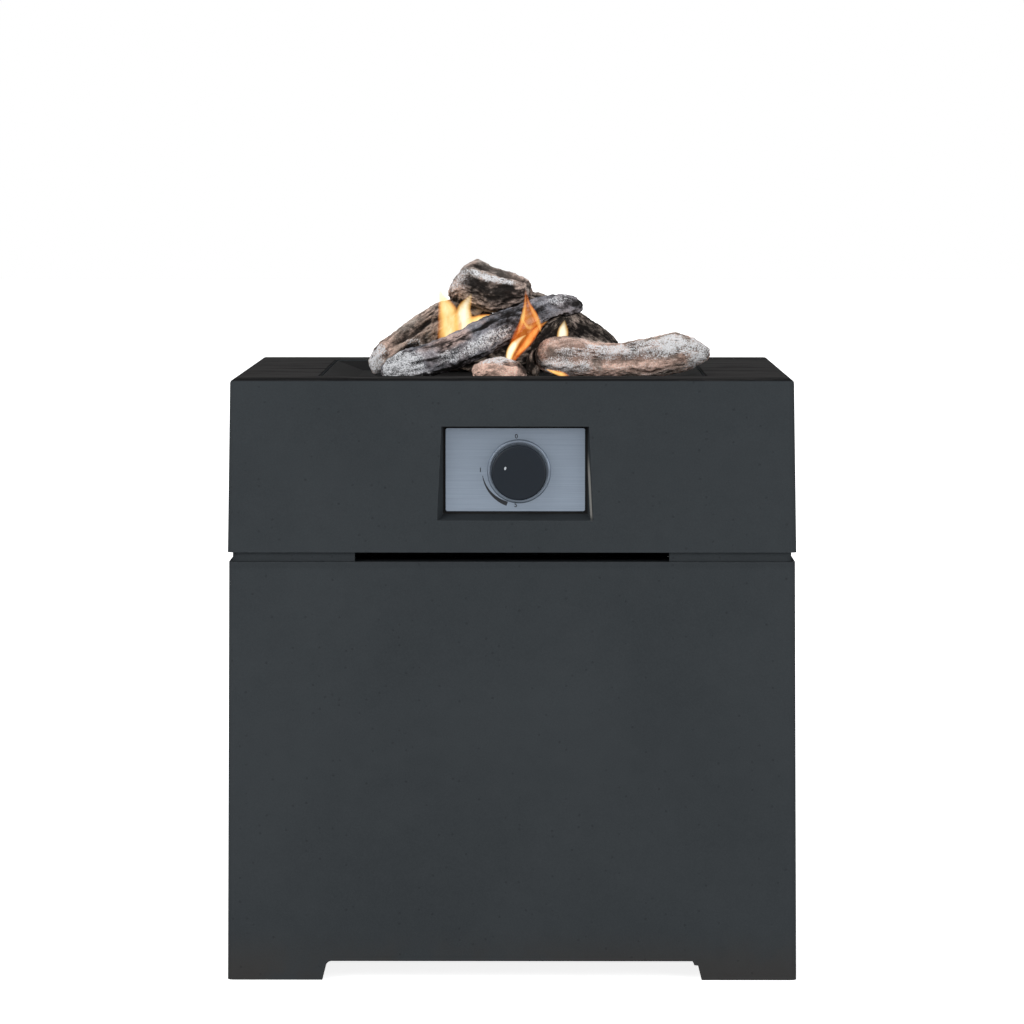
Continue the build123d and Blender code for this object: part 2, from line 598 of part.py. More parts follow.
# Valve plug: tapered, turned by the stem through a D-shaped socket
with BuildPart() as valve_plug:
    with Locations(front_plane(plug_y + PLUG_LENGTH, knob_x, knob_z)):
        Cone(PLUG_DIAMETER / 2 - PLUG_TAPER, PLUG_DIAMETER / 2, PLUG_LENGTH,
             align=(Align.CENTER, Align.CENTER, Align.MIN))
    d_profile(front_plane(plug_y + SOCKET_DEPTH, knob_x, knob_z), STEM_DIAMETER + 2 * STEM_GAP,
              SOCKET_DEPTH, Mode.SUBTRACT)
write_step(valve_plug, "valve_plug")

# Valve bonnet: eared cover over the plug, with a threaded nose through bracket and plate
with BuildPart() as valve_bonnet:
    with BuildSketch(front_plane(valve_y, knob_x, knob_z)):
        Circle(VALVE_DIAMETER / 2)
        SlotCenterToCenter(EAR_SPACING, EAR_DIAMETER)
        with Locations(*ears_at):
            Circle((M4 + HOLE_GAP) / 2, mode=Mode.SUBTRACT)
    extrude(amount=BONNET_FLANGE)
    rod(front_plane(bonnet_y, knob_x, knob_z), BONNET_NECK_DIAMETER, BONNET_NECK)
    rod(front_plane(bracket_y, knob_x, knob_z), NOSE_DIAMETER, bracket_y - nose_y)
    rod(front_plane(valve_y, knob_x, knob_z), STEM_DIAMETER + 2 * STEM_GAP, valve_y - nose_y,
        mode=Mode.SUBTRACT)
write_step(valve_bonnet, "valve_bonnet")

# Bonnet screws
with BuildPart() as bonnet_screws:
    rod(front_plane(valve_y + EAR_DEPTH, knob_x, knob_z), M4, EAR_DEPTH + BONNET_FLANGE,
        ears_at)
    hex_bar(front_plane(bonnet_y, knob_x, knob_z), M4_FLATS, M4_HEAD, ears_at)
write_step(bonnet_screws, "bonnet_screws")

# Nose nut: clamps plate and bracket against the bonnet's neck, hidden inside the knob
with BuildPart() as nose_nut:
    hex_bar(front_plane(plate_y, knob_x, knob_z), NOSE_NUT_FLATS, NOSE_NUT_HEIGHT)
    rod(front_plane(plate_y, knob_x, knob_z), NOSE_DIAMETER + HOLE_GAP, NOSE_NUT_HEIGHT,
        mode=Mode.SUBTRACT)
write_step(nose_nut, "nose_nut")

# Magnet unit of the flame failure device, with the thermocouple's nut behind it
with BuildPart() as magnet_unit:
    rod(front_plane(magnet_y, knob_x, knob_z), MAGNET_DIAMETER, MAGNET_LENGTH)
    hex_bar(front_plane(magnet_end_y, knob_x, knob_z), MAGNET_NUT_FLATS, MAGNET_NUT_LENGTH)
write_step(magnet_unit, "magnet_unit")

# Piezo igniter: struck by the valve, seated on its saddle
with BuildPart() as piezo_igniter:
    slab(flat_plane(piezo_z, knob_x, ports_y), PIEZO_WIDTH, PIEZO_LENGTH, PIEZO_HEIGHT)
    chamfer(piezo_igniter.edges().filter_by(Axis.Y), CHAMFERED_CORNER)
write_step(piezo_igniter, "piezo_igniter")

# Gas inlet: connector under the valve with the plain pipe end that takes the hose fitting
with BuildPart() as gas_inlet:
    inlet_nut_z = knob_z - PORT_REACH - INLET_NUT_LENGTH
    inlet_z = inlet_nut_z - INLET_LENGTH
    hex_bar(flat_plane(inlet_nut_z, knob_x, ports_y), INLET_NUT_FLATS, INLET_NUT_LENGTH)
    rod(flat_plane(inlet_z, knob_x, ports_y), PIPE_DIAMETER, INLET_LENGTH)
    rod(flat_plane(inlet_z, knob_x, ports_y), PIPE_BORE, INLET_LENGTH, mode=Mode.SUBTRACT)
write_step(gas_inlet, "gas_inlet")

# Control bracket: folded sheet behind the recess that carries plate and valve
with BuildPart() as control_bracket:
    slab(front_plane(bracket_y, PLATE_X, plate_z), BRACKET_WIDTH, BRACKET_HEIGHT, SHEET)
    fold_x = BRACKET_WIDTH / 2 - SHEET / 2
    for side in (-1, 1):
        slab(front_plane(bracket_y + BRACKET_FOLD, PLATE_X + side * fold_x, plate_z), SHEET,
             BRACKET_HEIGHT, BRACKET_FOLD)
    rod(front_plane(bracket_y, knob_x, knob_z), NOSE_DIAMETER + HOLE_GAP, SHEET,
        mode=Mode.SUBTRACT)
    rod(front_plane(bracket_y, PLATE_X, plate_z), M3 + HOLE_GAP, SHEET, studs_at,
        Mode.SUBTRACT)
    rod(front_plane(bracket_y, PLATE_X, plate_z), M4 + HOLE_GAP, SHEET, bracket_screws_at,
        Mode.SUBTRACT)
write_step(control_bracket, "control_bracket")

# Bracket screws: from inside into the pad of the upper block
with BuildPart() as bracket_screws:
    rod(front_plane(bracket_y, PLATE_X, plate_z), M4, SCREW_LENGTH, bracket_screws_at)
    hex_bar(front_plane(bracket_y + M4_HEAD, PLATE_X, plate_z), M4_FLATS, M4_HEAD,
            bracket_screws_at)
write_step(bracket_screws, "bracket_screws")

# Control plate: brushed plate in the recess, with four studs through the bracket
with BuildPart() as control_plate:
    slab(front_plane(pad_y, PLATE_X, plate_z), PLATE_WIDTH, PLATE_HEIGHT, PLATE_THICKNESS,
         PLATE_RADIUS)
    rod(front_plane(pad_y + STUD_LENGTH, PLATE_X, plate_z), M3, STUD_LENGTH, studs_at)
    rod(front_plane(pad_y, knob_x, knob_z), NOSE_DIAMETER + HOLE_GAP, PLATE_THICKNESS,
        mode=Mode.SUBTRACT)
write_step(control_plate, "control_plate")

# Plate nuts
with BuildPart() as plate_nuts:
    hex_bar(front_plane(bracket_y + M3_NUT, PLATE_X, plate_z), M3_FLATS, M3_NUT, studs_at)
    rod(front_plane(bracket_y + M3_NUT, PLATE_X, plate_z), M3 + HOLE_GAP, M3_NUT, studs_at,
        Mode.SUBTRACT)
write_step(plate_nuts, "plate_nuts")

# Knob bezel: raised ring on the plate, round the knob
with BuildPart() as knob_bezel:
    rod(front_plane(plate_y, knob_x, knob_z), BEZEL_DIAMETER, BEZEL_HEIGHT)
    rim = knob_bezel.edges().filter_by(GeomType.CIRCLE).sort_by(Axis.Y)[0]
    chamfer(rim, BEZEL_CHAMFER)
    rod(front_plane(plate_y, knob_x, knob_z), KNOB_DIAMETER + 2 * BEZEL_GAP, BEZEL_HEIGHT,
        mode=Mode.SUBTRACT)
write_step(knob_bezel, "knob_bezel")

# Valve stem: D-section bar from the plug's socket into the knob's hub
with BuildPart() as valve_stem:
    stem_front_y = knob_front_y + KNOB_FACE
    d_profile(front_plane(stem_end_y, knob_x, knob_z), STEM_DIAMETER,
              stem_end_y - stem_front_y)
write_step(valve_stem, "valve_stem")

# Control knob: moulded shell with a hub and ribs behind its face
pointer_at = (POINTER_REACH * cos(radians(REST_ANGLE)), POINTER_REACH * sin(radians(REST_ANGLE)))
with BuildPart() as control_knob:
    knob_depth = knob_back_y - knob_front_y
    rod(front_plane(knob_back_y, knob_x, knob_z), KNOB_DIAMETER, knob_depth)
    face_edge = control_knob.edges().filter_by(GeomType.CIRCLE).sort_by(Axis.Y)[0]
    fillet(face_edge, KNOB_EDGE_RADIUS)
    rod(front_plane(knob_back_y, knob_x, knob_z), KNOB_DIAMETER - 2 * KNOB_SKIRT,
        knob_depth - KNOB_FACE, mode=Mode.SUBTRACT)
    with BuildSketch(front_plane(hub_y, knob_x, knob_z)):
        Circle(HUB_DIAMETER / 2)
        with PolarLocations(0, KNOB_RIBS, angular_range=180):
            Rectangle(KNOB_DIAMETER - KNOB_SKIRT, RIB)
    extrude(amount=hub_y - stem_front_y)
    d_profile(front_plane(hub_y, knob_x, knob_z), STEM_DIAMETER + 2 * STEM_GAP,
              hub_y - stem_front_y, Mode.SUBTRACT)
    with BuildSketch(front_plane(knob_front_y + POINTER_DEPTH, knob_x, knob_z)):
        with Locations(pointer_at):
            Ellipse(POINTER_WIDTH / 2, POINTER_LENGTH / 2, rotation=REST_ANGLE)
    extrude(amount=POINTER_DEPTH, mode=Mode.SUBTRACT)
write_step(control_knob, "control_knob")

# Knob pointer: pale inlay in the knob's face
with BuildPart() as knob_pointer:
    with BuildSketch(front_plane(knob_front_y + POINTER_DEPTH, knob_x, knob_z)):
        with Locations(pointer_at):
            Ellipse(POINTER_WIDTH / 2, POINTER_LENGTH / 2, rotation=REST_ANGLE)
    extrude(amount=POINTER_DEPTH)
write_step(knob_pointer, "knob_pointer")

# Heat shield under the plenum, hung on four shouldered studs
with BuildPart() as heat_shield:
    slab(flat_plane(shield_z - PAN_SHEET), shield_side, shield_side, PAN_SHEET, BURNER_RADIUS)
    rod(flat_plane(shield_z - PAN_SHEET), SHIELD_HOLE, PAN_SHEET, mode=Mode.SUBTRACT)
    rod(flat_plane(shield_z - PAN_SHEET), M4 + HOLE_GAP, PAN_SHEET, shield_studs_at,
        Mode.SUBTRACT)
write_step(heat_shield, "heat_shield")

with BuildPart() as shield_studs:
    rod(flat_plane(shield_z), SHIELD_STUD_DIAMETER, SHIELD_DROP, shield_studs_at)
    tail = PAN_SHEET + SHIELD_STUD_TAIL
    rod(flat_plane(shield_z - tail), M4, tail, shield_studs_at)
write_step(shield_studs, "shield_studs")

with BuildPart() as shield_nuts:
    nut_z = shield_z - PAN_SHEET - M4_HEAD
    hex_bar(flat_plane(nut_z), M4_FLATS, M4_HEAD, shield_studs_at)
    rod(flat_plane(nut_z), M4 + HOLE_GAP, M4_HEAD, shield_studs_at, Mode.SUBTRACT)
write_step(shield_nuts, "shield_nuts")

# Lead clips: two small blocks under the heat shield that hold both leads
lead_z = shield_z - PAN_SHEET - CLIP_HEIGHT / 2
leads_x = (PILOT_X - CLIP_SIDE - LEAD_SPACING / 2, PILOT_X - CLIP_SIDE + LEAD_SPACING / 2)
with BuildPart() as lead_clips:
    for clip_y in (-CLIP_SPACING / 2, CLIP_SPACING / 2):
        slab(front_plane(clip_y + CLIP_LENGTH / 2, PILOT_X - CLIP_SIDE, lead_z),
             2 * LEAD_SPACING, CLIP_HEIGHT, CLIP_LENGTH)
    for lead_x, diameter in zip(leads_x, (LEAD_DIAMETER, SPARK_LEAD_DIAMETER)):
        rod(front_plane(CLIP_SPACING, lead_x, lead_z), diameter + HOLE_GAP, 2 * CLIP_SPACING,
            mode=Mode.SUBTRACT)
write_step(lead_clips, "lead_clips")

# Pilot bracket: foot on the deck behind the burner, with an upright that shields the tips
with BuildPart() as pilot_bracket:
    slab(flat_plane(deck_z, PILOT_X, pilot_y), PILOT_FOOT_WIDTH, PILOT_FOOT_DEPTH, SHEET)
    slab(flat_plane(deck_z, PILOT_X, pilot_y + PILOT_FOOT_DEPTH / 2 - SHEET / 2),
         PILOT_FOOT_WIDTH, SHEET, PILOT_HEIGHT)
    rod(flat_plane(deck_z), ELECTRODE_DIAMETER + HOLE_GAP, SHEET, pilot_at, Mode.SUBTRACT)
write_step(pilot_bracket, "pilot_bracket")

# Thermocouple: bent probe with a collar under the deck
collar_z = deck_z - SHEET - COLLAR_HEIGHT
probe_x, spark_x = PILOT_X - PILOT_SPACING / 2, PILOT_X + PILOT_SPACING / 2
with BuildPart() as thermocouple:
    add(tube_along(
        (
            (probe_x, pilot_y, collar_z),
            (probe_x, pilot_y, deck_z + TIP_RISE / 2),
            (probe_x, pilot_y - TIP_LEAN, deck_z + TIP_RISE),
        ),
        LEAD_BEND, TIP_DIAMETER,
    ))
    rod(flat_plane(collar_z, probe_x, pilot_y), COLLAR_DIAMETER, COLLAR_HEIGHT)
write_step(thermocouple, "thermocouple")

# Thermocouple lead: down past the heat shield, through the clips and into the magnet unit
with BuildPart() as thermocouple_lead:
    add(tube_along(
        (
            (probe_x, pilot_y, collar_z),
            (probe_x, pilot_y, lead_z),
            (leads_x[0], CLIP_SPACING, lead_z),
            (leads_x[0], -CLIP_SPACING, lead_z),
            (knob_x, magnet_end_y + LEAD_RUN, knob_z),
            (knob_x, magnet_end_y, knob_z),
        ),
        LEAD_BEND, LEAD_DIAMETER,
    ))
write_step(thermocouple_lead, "thermocouple_lead")

# Spark electrode: ceramic sleeve through the deck with a bent rod in it
with BuildPart() as electrode_sleeve:
    rod(flat_plane(collar_z, spark_x, pilot_y), COLLAR_DIAMETER, COLLAR_HEIGHT)
    rod(flat_plane(collar_z, spark_x, pilot_y), ELECTRODE_DIAMETER,
        COLLAR_HEIGHT + SHEET + SLEEVE_RISE)
write_step(electrode_sleeve, "electrode_sleeve")

with BuildPart() as spark_rod:
    add(tube_along(
        (
            (spark_x, pilot_y, deck_z + SLEEVE_RISE),
            (spark_x, pilot_y, deck_z + (SLEEVE_RISE + TIP_RISE) / 2),
            (spark_x - TIP_LEAN / 2, pilot_y - TIP_LEAN, deck_z + TIP_RISE),
        ),
        ROD_BEND, ROD_DIAMETER,
    ))
write_step(spark_rod, "spark_rod")

# Spark lead: from the electrode through the clips to the igniter on the valve
with BuildPart() as spark_lead:
    spark_lead_z = piezo_z + PIEZO_HEIGHT / 2
    piezo_back_y = ports_y + PIEZO_LENGTH / 2
    add(tube_along(
        (
            (spark_x, pilot_y, collar_z),
            (spark_x, pilot_y, lead_z),
            (leads_x[1], CLIP_SPACING, lead_z),
            (leads_x[1], -CLIP_SPACING, lead_z),
            (knob_x, piezo_back_y + LEAD_RUN, spark_lead_z),
            (knob_x, piezo_back_y, spark_lead_z),
        ),
        LEAD_BEND, SPARK_LEAD_DIAMETER,
    ))
write_step(spark_lead, "spark_lead")

# Door frame: sheet ring in the rear opening, with an inward stop for the door
with BuildPart() as door_frame:
    frame_plane = front_plane(frame_front_y, z=door_mid_z)
    slab(frame_plane, frame_width, frame_height, FRAME_DEPTH)
    slab(frame_plane, 2 * frame_inner, 2 * frame_inner_height, FRAME_DEPTH - FRAME_SHEET,
         mode=Mode.SUBTRACT)
    slab(frame_plane, 2 * (frame_inner - STOP_WIDTH), 2 * (frame_inner_height - STOP_WIDTH),
         FRAME_DEPTH, mode=Mode.SUBTRACT)
    for side in (-1, 1):
        for _, rise in frame_screws_at:
            with Locations(jamb_plane(side, rise)):
                Cone((M4_COUNTERSINK + HOLE_GAP) / 2, (M4 + HOLE_GAP) / 2, FRAME_SHEET,
                     align=(Align.CENTER, Align.CENTER, Align.MIN), mode=Mode.SUBTRACT)
    with BuildSketch(flat_plane(door_mid_z, hinge_x, hinge_y)):
        Circle((HINGE_PIN + HOLE_GAP) / 2)
    extrude(amount=frame_height, both=True, mode=Mode.SUBTRACT)
write_step(door_frame, "door_frame")

# Frame screws: countersunk through the frame's sides into the cast wall
with BuildPart() as frame_screws:
    for side in (-1, 1):
        for _, rise in frame_screws_at:
            with Locations(jamb_plane(side, rise)):
                Cone(M4_COUNTERSINK / 2, M4 / 2, FRAME_SHEET,
                     align=(Align.CENTER, Align.CENTER, Align.MIN))
                Cylinder(M4 / 2, FRAME_SCREW_LENGTH,
                         align=(Align.CENTER, Align.CENTER, Align.MIN))
write_step(frame_screws, "frame_screws")

# Hinge pins: riveted into the top and the bottom of the frame
with BuildPart() as hinge_pins:
    rod(flat_plane(door_mid_z - frame_height / 2, hinge_x, hinge_y), HINGE_PIN,
        HINGE_PIN_LENGTH)
    rod(flat_plane(door_mid_z + frame_height / 2 - HINGE_PIN_LENGTH, hinge_x, hinge_y),
        HINGE_PIN, HINGE_PIN_LENGTH)
write_step(hinge_pins, "hinge_pins")

# Door panel: folded tray of sheet, open towards the inside
with BuildPart() as door_panel:
    door_width = door_right - door_left
    door_mid_x = (door_right + door_left) / 2
    slab(front_plane(door_face_y, door_mid_x, door_mid_z), door_width, 2 * door_top,
         DOOR_FOLD)
    slab(front_plane(door_face_y - SHEET, door_mid_x, door_mid_z), door_width - 2 * SHEET,
         2 * (door_top - SHEET), DOOR_FOLD, mode=Mode.SUBTRACT)
    with BuildSketch(flat_plane(door_mid_z, hinge_x, hinge_y)):
        Circle((bush_diameter + HOLE_GAP) / 2)
    extrude(amount=frame_height, both=True, mode=Mode.SUBTRACT)
    rod(front_plane(door_face_y, pull_x, door_mid_z), M4 + HOLE_GAP, SHEET,
        mode=Mode.SUBTRACT)
write_step(door_panel, "door_panel")

# Hinge bushes: flanged plastic bushes in the door's top and bottom folds
with BuildPart() as hinge_bushes:
    for end in (-1, 1):
        bush_plane = Plane(
            origin=(hinge_x, hinge_y, door_mid_z + end * door_top), z_dir=(0, 0, -end)
        )
        flange_plane = bush_plane.offset(-bush_flange)
        rod(flange_plane, bush_diameter + 2 * BUSH_FLANGE_WIDTH, bush_flange)
        rod(flange_plane, bush_diameter, bush_flange + BUSH_LENGTH)
        rod(flange_plane, HINGE_PIN + 2 * BUSH_GAP, bush_flange + BUSH_LENGTH,
            mode=Mode.SUBTRACT)
write_step(hinge_bushes, "hinge_bushes")

# Door pull: turned knob on the door's face, held by a screw from inside
with BuildPart() as door_pull:
    pull_plane = Plane(
        origin=(pull_x, door_face_y, door_mid_z), x_dir=(-1, 0, 0), z_dir=(0, 1, 0)
    )
    head_depth = PULL_DEPTH / 2
    rod(pull_plane, PULL_NECK, PULL_DEPTH - head_depth)
    rod(pull_plane.offset(PULL_DEPTH - head_depth), PULL_DIAMETER, head_depth)
    pull_rim = door_pull.edges().filter_by(GeomType.CIRCLE).sort_by(Axis.Y)[-1]
    chamfer(pull_rim, PULL_CHAMFER)
    rod(pull_plane, M4 + HOLE_GAP, PULL_DEPTH - head_depth, mode=Mode.SUBTRACT)
write_step(door_pull, "door_pull")

with BuildPart() as pull_screw:
    screw_plane = pull_plane.offset(-SHEET)
    rod(screw_plane, M4, PULL_DEPTH - head_depth)
    hex_bar(screw_plane.offset(-M4_HEAD), M4_FLATS, M4_HEAD)
write_step(pull_screw, "pull_screw")

# Magnetic catch on the frame's stop, and its strike plate on the door
strike_y = door_face_y - SHEET - STRIKE_THICKNESS
stop_y = frame_back_y + FRAME_SHEET
with BuildPart() as magnetic_catch:
    slab(front_plane(strike_y - RUNNING_GAP, catch_x, door_mid_z), CATCH_WIDTH, CATCH_LENGTH,
         strike_y - RUNNING_GAP - stop_y)
write_step(magnetic_catch, "magnetic_catch")

with BuildPart() as strike_plate:
    slab(front_plane(door_face_y - SHEET, catch_x, door_mid_z), CATCH_WIDTH, CATCH_LENGTH,
         STRIKE_THICKNESS)
write_step(strike_plate, "strike_plate")


def log_solid(stations, lobes, depth, turn, grow=0.0):
    """Log of flat facets, along stations of x, y, height above the burner and radius."""
    division = BURNER_SIDE / LOG_DIVISIONS
    first, last = stations[0], stations[-1]
    along = Vector(last[0] - first[0], last[1] - first[1], last[2] - first[2]).normalized()
    across = Vector(0, 0, 1).cross(along).normalized()
    rings = []
    for x, y, rise, radius in stations:
        middle = (x * division, y * division, seat_z + rise * division)
        section = Plane(origin=middle, x_dir=across, z_dir=along)
        ring = []
        for corner in range(LOG_SIDES):
            angle = 2 * pi * corner / LOG_SIDES
            reach = (radius * division + grow) * (1 + depth * cos(lobes * angle + turn))
            ring.append(section.from_local_coords((reach * cos(angle), reach * sin(angle), 0)))
        rings.append(ring)
    facets = [Face(Wire.make_polygon(ring)) for ring in (rings[0], rings[-1])]
    for near, far in zip(rings, rings[1:]):
        for corner in range(LOG_SIDES):
            beside = (corner + 1) % LOG_SIDES
            facets.append(
                Face(Wire.make_polygon([near[corner], near[beside], far[beside], far[corner]]))
            )
    return Solid(Shell(facets))


# Each log: stations from end to end, lobes of its outline with their depth and turn, the
# level of its flat seat, and the logs that it rests on
LOGS = {
    "log_right": (
        ((26, -60, 21, 6), (31, -61, 22, 15), (41, -62, 23, 22), (58, -64, 24, 23.5),
         (85, -67, 21, 21), (110, -71, 20, 20), (150, -78, 22, 22.5), (176, -81, 27, 24),
         (188, -83, 28, 21.5), (198, -84, 28, 17), (208, -85, 27, 11), (214, -86, 27, 6)),
        2, 0.06, 0.6, seat_z, ()),
    "log_stub": (
        ((-43, -131, 9, 6), (-30, -129, 11, 12), (-12, -127, 13, 14), (6, -125, 10, 12),
         (15, -124, 8, 6)),
        3, 0.08, 0.0, seat_z, ()),
    "log_rear": (
        ((-112, 84, 20, 14), (-98, 84, 23, 23), (-60, 85, 26, 27), (-20, 88, 27, 28),
         (20, 91, 27, 28), (44, 94, 24, 25), (58, 95, 22, 14)),
        3, 0.08, 0.7, seat_z, ()),
    "log_back_right": (
        ((-14, 6, 79, 9), (8, 12, 79, 17), (38, 28, 67, 18), (65, 42, 52, 17.5),
         (91, 52, 36, 17), (108, 59, 22, 16), (115, 62, 12, 11)),
        3, 0.09, 1.0, seat_z, ()),
    "log_back_left": (
        ((-157, 5, 7, 8), (-149, 7, 15, 13.5), (-141, 9, 21, 16), (-122, 15, 31, 18.5),
         (-99, 22, 44, 21.5), (-78, 27, 58, 21), (-55, 29, 67, 19.5), (-34, 28, 73, 18),
         (-27, 27, 74, 12)),
        3, 0.08, 2.0, deck_z, ()),
    "log_prop": (
        ((19, -64, 2, 9), (22, -58, 18, 10), (32, -46, 38, 11.5), (45, -36, 56, 12),
         (58, -30, 63, 10)),
        3, 0.06, 0.5, seat_z, ("log_right",)),
    "log_front": (
        ((-141, -112, 6, 8), (-132, -111, 10, 14), (-117, -110, 14, 17.5),
         (-96, -105, 18, 18.5), (-69, -95, 27, 20), (-38, -80, 40, 20.5), (-6, -60, 56, 18),
         (29, -40, 72, 15), (57, -25, 78, 13.5), (69, -18, 78, 11), (75, -14, 77, 6)),
        3, 0.07, 1.5, seat_z, ("log_right", "log_prop", "log_stub")),
    "log_top": (
        ((-72, 10, 88, 7), (-60, 5, 95, 17), (-50, 2, 99, 23), (-38, -2, 101, 26.5),
         (-22, -9, 95, 25), (-4, -15, 95, 21), (12, -20, 95, 15), (20, -24, 96, 8)),
        4, 0.08, 0.8, seat_z, ("log_front", "log_back_left", "log_back_right")),
}

# Logs: cast ceramic, flat where they stand on the burner and notched where they cross
for name, (stations, lobes, depth, turn, seat, rests_on) in LOGS.items():
    with BuildPart() as log:
        add(log_solid(stations, lobes, depth, turn))
        split(bisect_by=flat_plane(seat), keep=Keep.TOP)
        for lower in rests_on:
            lower_stations, lower_lobes, lower_depth, lower_turn = LOGS[lower][:4]
            add(log_solid(lower_stations, lower_lobes, lower_depth, lower_turn, RUNNING_GAP),
                mode=Mode.SUBTRACT)
    write_step(log, name)
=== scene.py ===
import json
from math import cos, radians, sin

import bmesh
import bpy
import numpy as np
from bpy.props import FloatProperty, FloatVectorProperty, IntProperty, PointerProperty, StringProperty
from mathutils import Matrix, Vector, noise


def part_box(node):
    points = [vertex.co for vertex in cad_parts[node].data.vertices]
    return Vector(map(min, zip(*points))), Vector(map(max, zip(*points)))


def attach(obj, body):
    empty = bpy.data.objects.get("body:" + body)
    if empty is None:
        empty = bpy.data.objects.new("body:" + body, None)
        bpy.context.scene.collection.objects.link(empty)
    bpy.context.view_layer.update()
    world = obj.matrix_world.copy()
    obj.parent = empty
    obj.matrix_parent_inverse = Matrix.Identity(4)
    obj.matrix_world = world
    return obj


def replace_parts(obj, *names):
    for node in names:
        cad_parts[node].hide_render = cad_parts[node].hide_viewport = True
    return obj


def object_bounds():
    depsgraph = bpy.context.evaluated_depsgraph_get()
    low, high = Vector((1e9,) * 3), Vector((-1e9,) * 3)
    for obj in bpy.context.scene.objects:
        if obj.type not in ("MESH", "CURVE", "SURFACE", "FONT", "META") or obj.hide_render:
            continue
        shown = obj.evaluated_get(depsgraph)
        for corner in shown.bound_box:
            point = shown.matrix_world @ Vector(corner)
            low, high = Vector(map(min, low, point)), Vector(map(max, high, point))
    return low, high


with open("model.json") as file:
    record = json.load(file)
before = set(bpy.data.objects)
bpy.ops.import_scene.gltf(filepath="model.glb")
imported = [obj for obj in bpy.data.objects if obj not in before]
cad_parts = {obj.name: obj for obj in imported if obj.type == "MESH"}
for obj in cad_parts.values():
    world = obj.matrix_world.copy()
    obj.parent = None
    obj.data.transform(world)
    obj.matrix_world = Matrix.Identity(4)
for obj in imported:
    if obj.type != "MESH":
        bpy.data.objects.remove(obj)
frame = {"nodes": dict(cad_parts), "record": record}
cad_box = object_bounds()

bl_info = {
    "name": "Gas fire pit finish",
    "version": (1, 0, 0),
    "blender": (4, 5, 0),
    "location": "3D View > Sidebar > Fire pit",
    "description": "Finishes, ceramic logs, flames, control marks and a studio for the fire pit",
    "category": "Object",
}

MM = 0.001
WHITE = (1.0, 1.0, 1.0)
BLACK = (0.0, 0.0, 0.0)


def srgb(*parts):
    """Linear colour of a paint-chart colour given from 0 to 255."""
    shares = [part / 255 for part in parts]
    return tuple(share / 12.92 if share <= 0.04045 else ((share + 0.055) / 1.055) ** 2.4
                 for share in shares)


# --- Settings ---

COLOUR = dict(subtype="COLOR", min=0.0, max=1.0)
LENGTH = dict(subtype="DISTANCE", unit="LENGTH")


class FIREPIT_PG_blocks(bpy.types.PropertyGroup):
    """Cast fibre-cement blocks"""
    body: FloatVectorProperty(
        name="Body", description="Through-dyed anthracite of the cast",
        default=srgb(58, 62, 65), **COLOUR)
    cloud: FloatVectorProperty(
        name="Cloud", description="Darker clouds in the cast", default=srgb(53, 57, 60), **COLOUR)
    bloom: FloatVectorProperty(
        name="Bloom", description="Pale bloom on rubbed edges", default=srgb(76, 80, 83), **COLOUR)
    # Also the dark of the painted shade on the top of the upper block
    soot_and_shade: FloatVectorProperty(
        name="Soot", description="Soot on the top round the burner",
        default=srgb(24, 24, 25), **COLOUR)
    # Painted highlight: a pale streak of light on the rounded right-hand corner of the control recess
    painted_glint: FloatVectorProperty(
        name="Glint", description="Pale corner of the control recess",
        default=srgb(168, 166, 160), **COLOUR)
    # Painted shade: the grey that the top of the upper block takes in place of the body colour
    top_grey: FloatVectorProperty(
        name="Weathered", description="Grey of the top between streaks of soot",
        default=srgb(58, 57, 57), **COLOUR)
    splash: FloatVectorProperty(
        name="Splash", description="Dry earth splashed on the feet",
        default=srgb(66, 60, 55), **COLOUR)
    pore: FloatProperty(
        name="Pore", description="Distance between pores of the cast",
        default=7 * MM, min=1 * MM, **LENGTH)
    rounding: FloatProperty(
        name="Rounding", description="Softness of moulded edges", default=1.2 * MM, min=0.0, **LENGTH)


class FIREPIT_PG_control(bpy.types.PropertyGroup):
    """Control plate, its marks and the knob"""
    steel: FloatVectorProperty(
        name="Steel", description="Brushed steel of the control plate",
        default=srgb(153, 165, 180), **COLOUR)
    knob: FloatVectorProperty(
        name="Knob", description="Blue-black of the knob", default=srgb(21, 29, 38), **COLOUR)
    ink: FloatVectorProperty(
        name="Ink", description="Ink of the printed marks", default=srgb(34, 37, 43), **COLOUR)
    figure_height: FloatProperty(
        name="Figure height", description="Height of the printed figures",
        default=4.6 * MM, min=1 * MM, **LENGTH)
    off_figure: StringProperty(name="Off figure", description="Figure at the off stop", default="0")
    low_figure: StringProperty(name="Low figure", description="Figure at low", default="1")
    high_figure: StringProperty(name="High figure", description="Figure at full", default="5")
    wedge_radius: FloatProperty(
        name="Wedge radius", description="Outer edge of the flame wedge",
        default=38.8 * MM, min=36 * MM, **LENGTH)
    wedge_thick: FloatProperty(
        name="Wedge", description="Thickness of the wedge at full",
        default=4.8 * MM, min=1 * MM, **LENGTH)


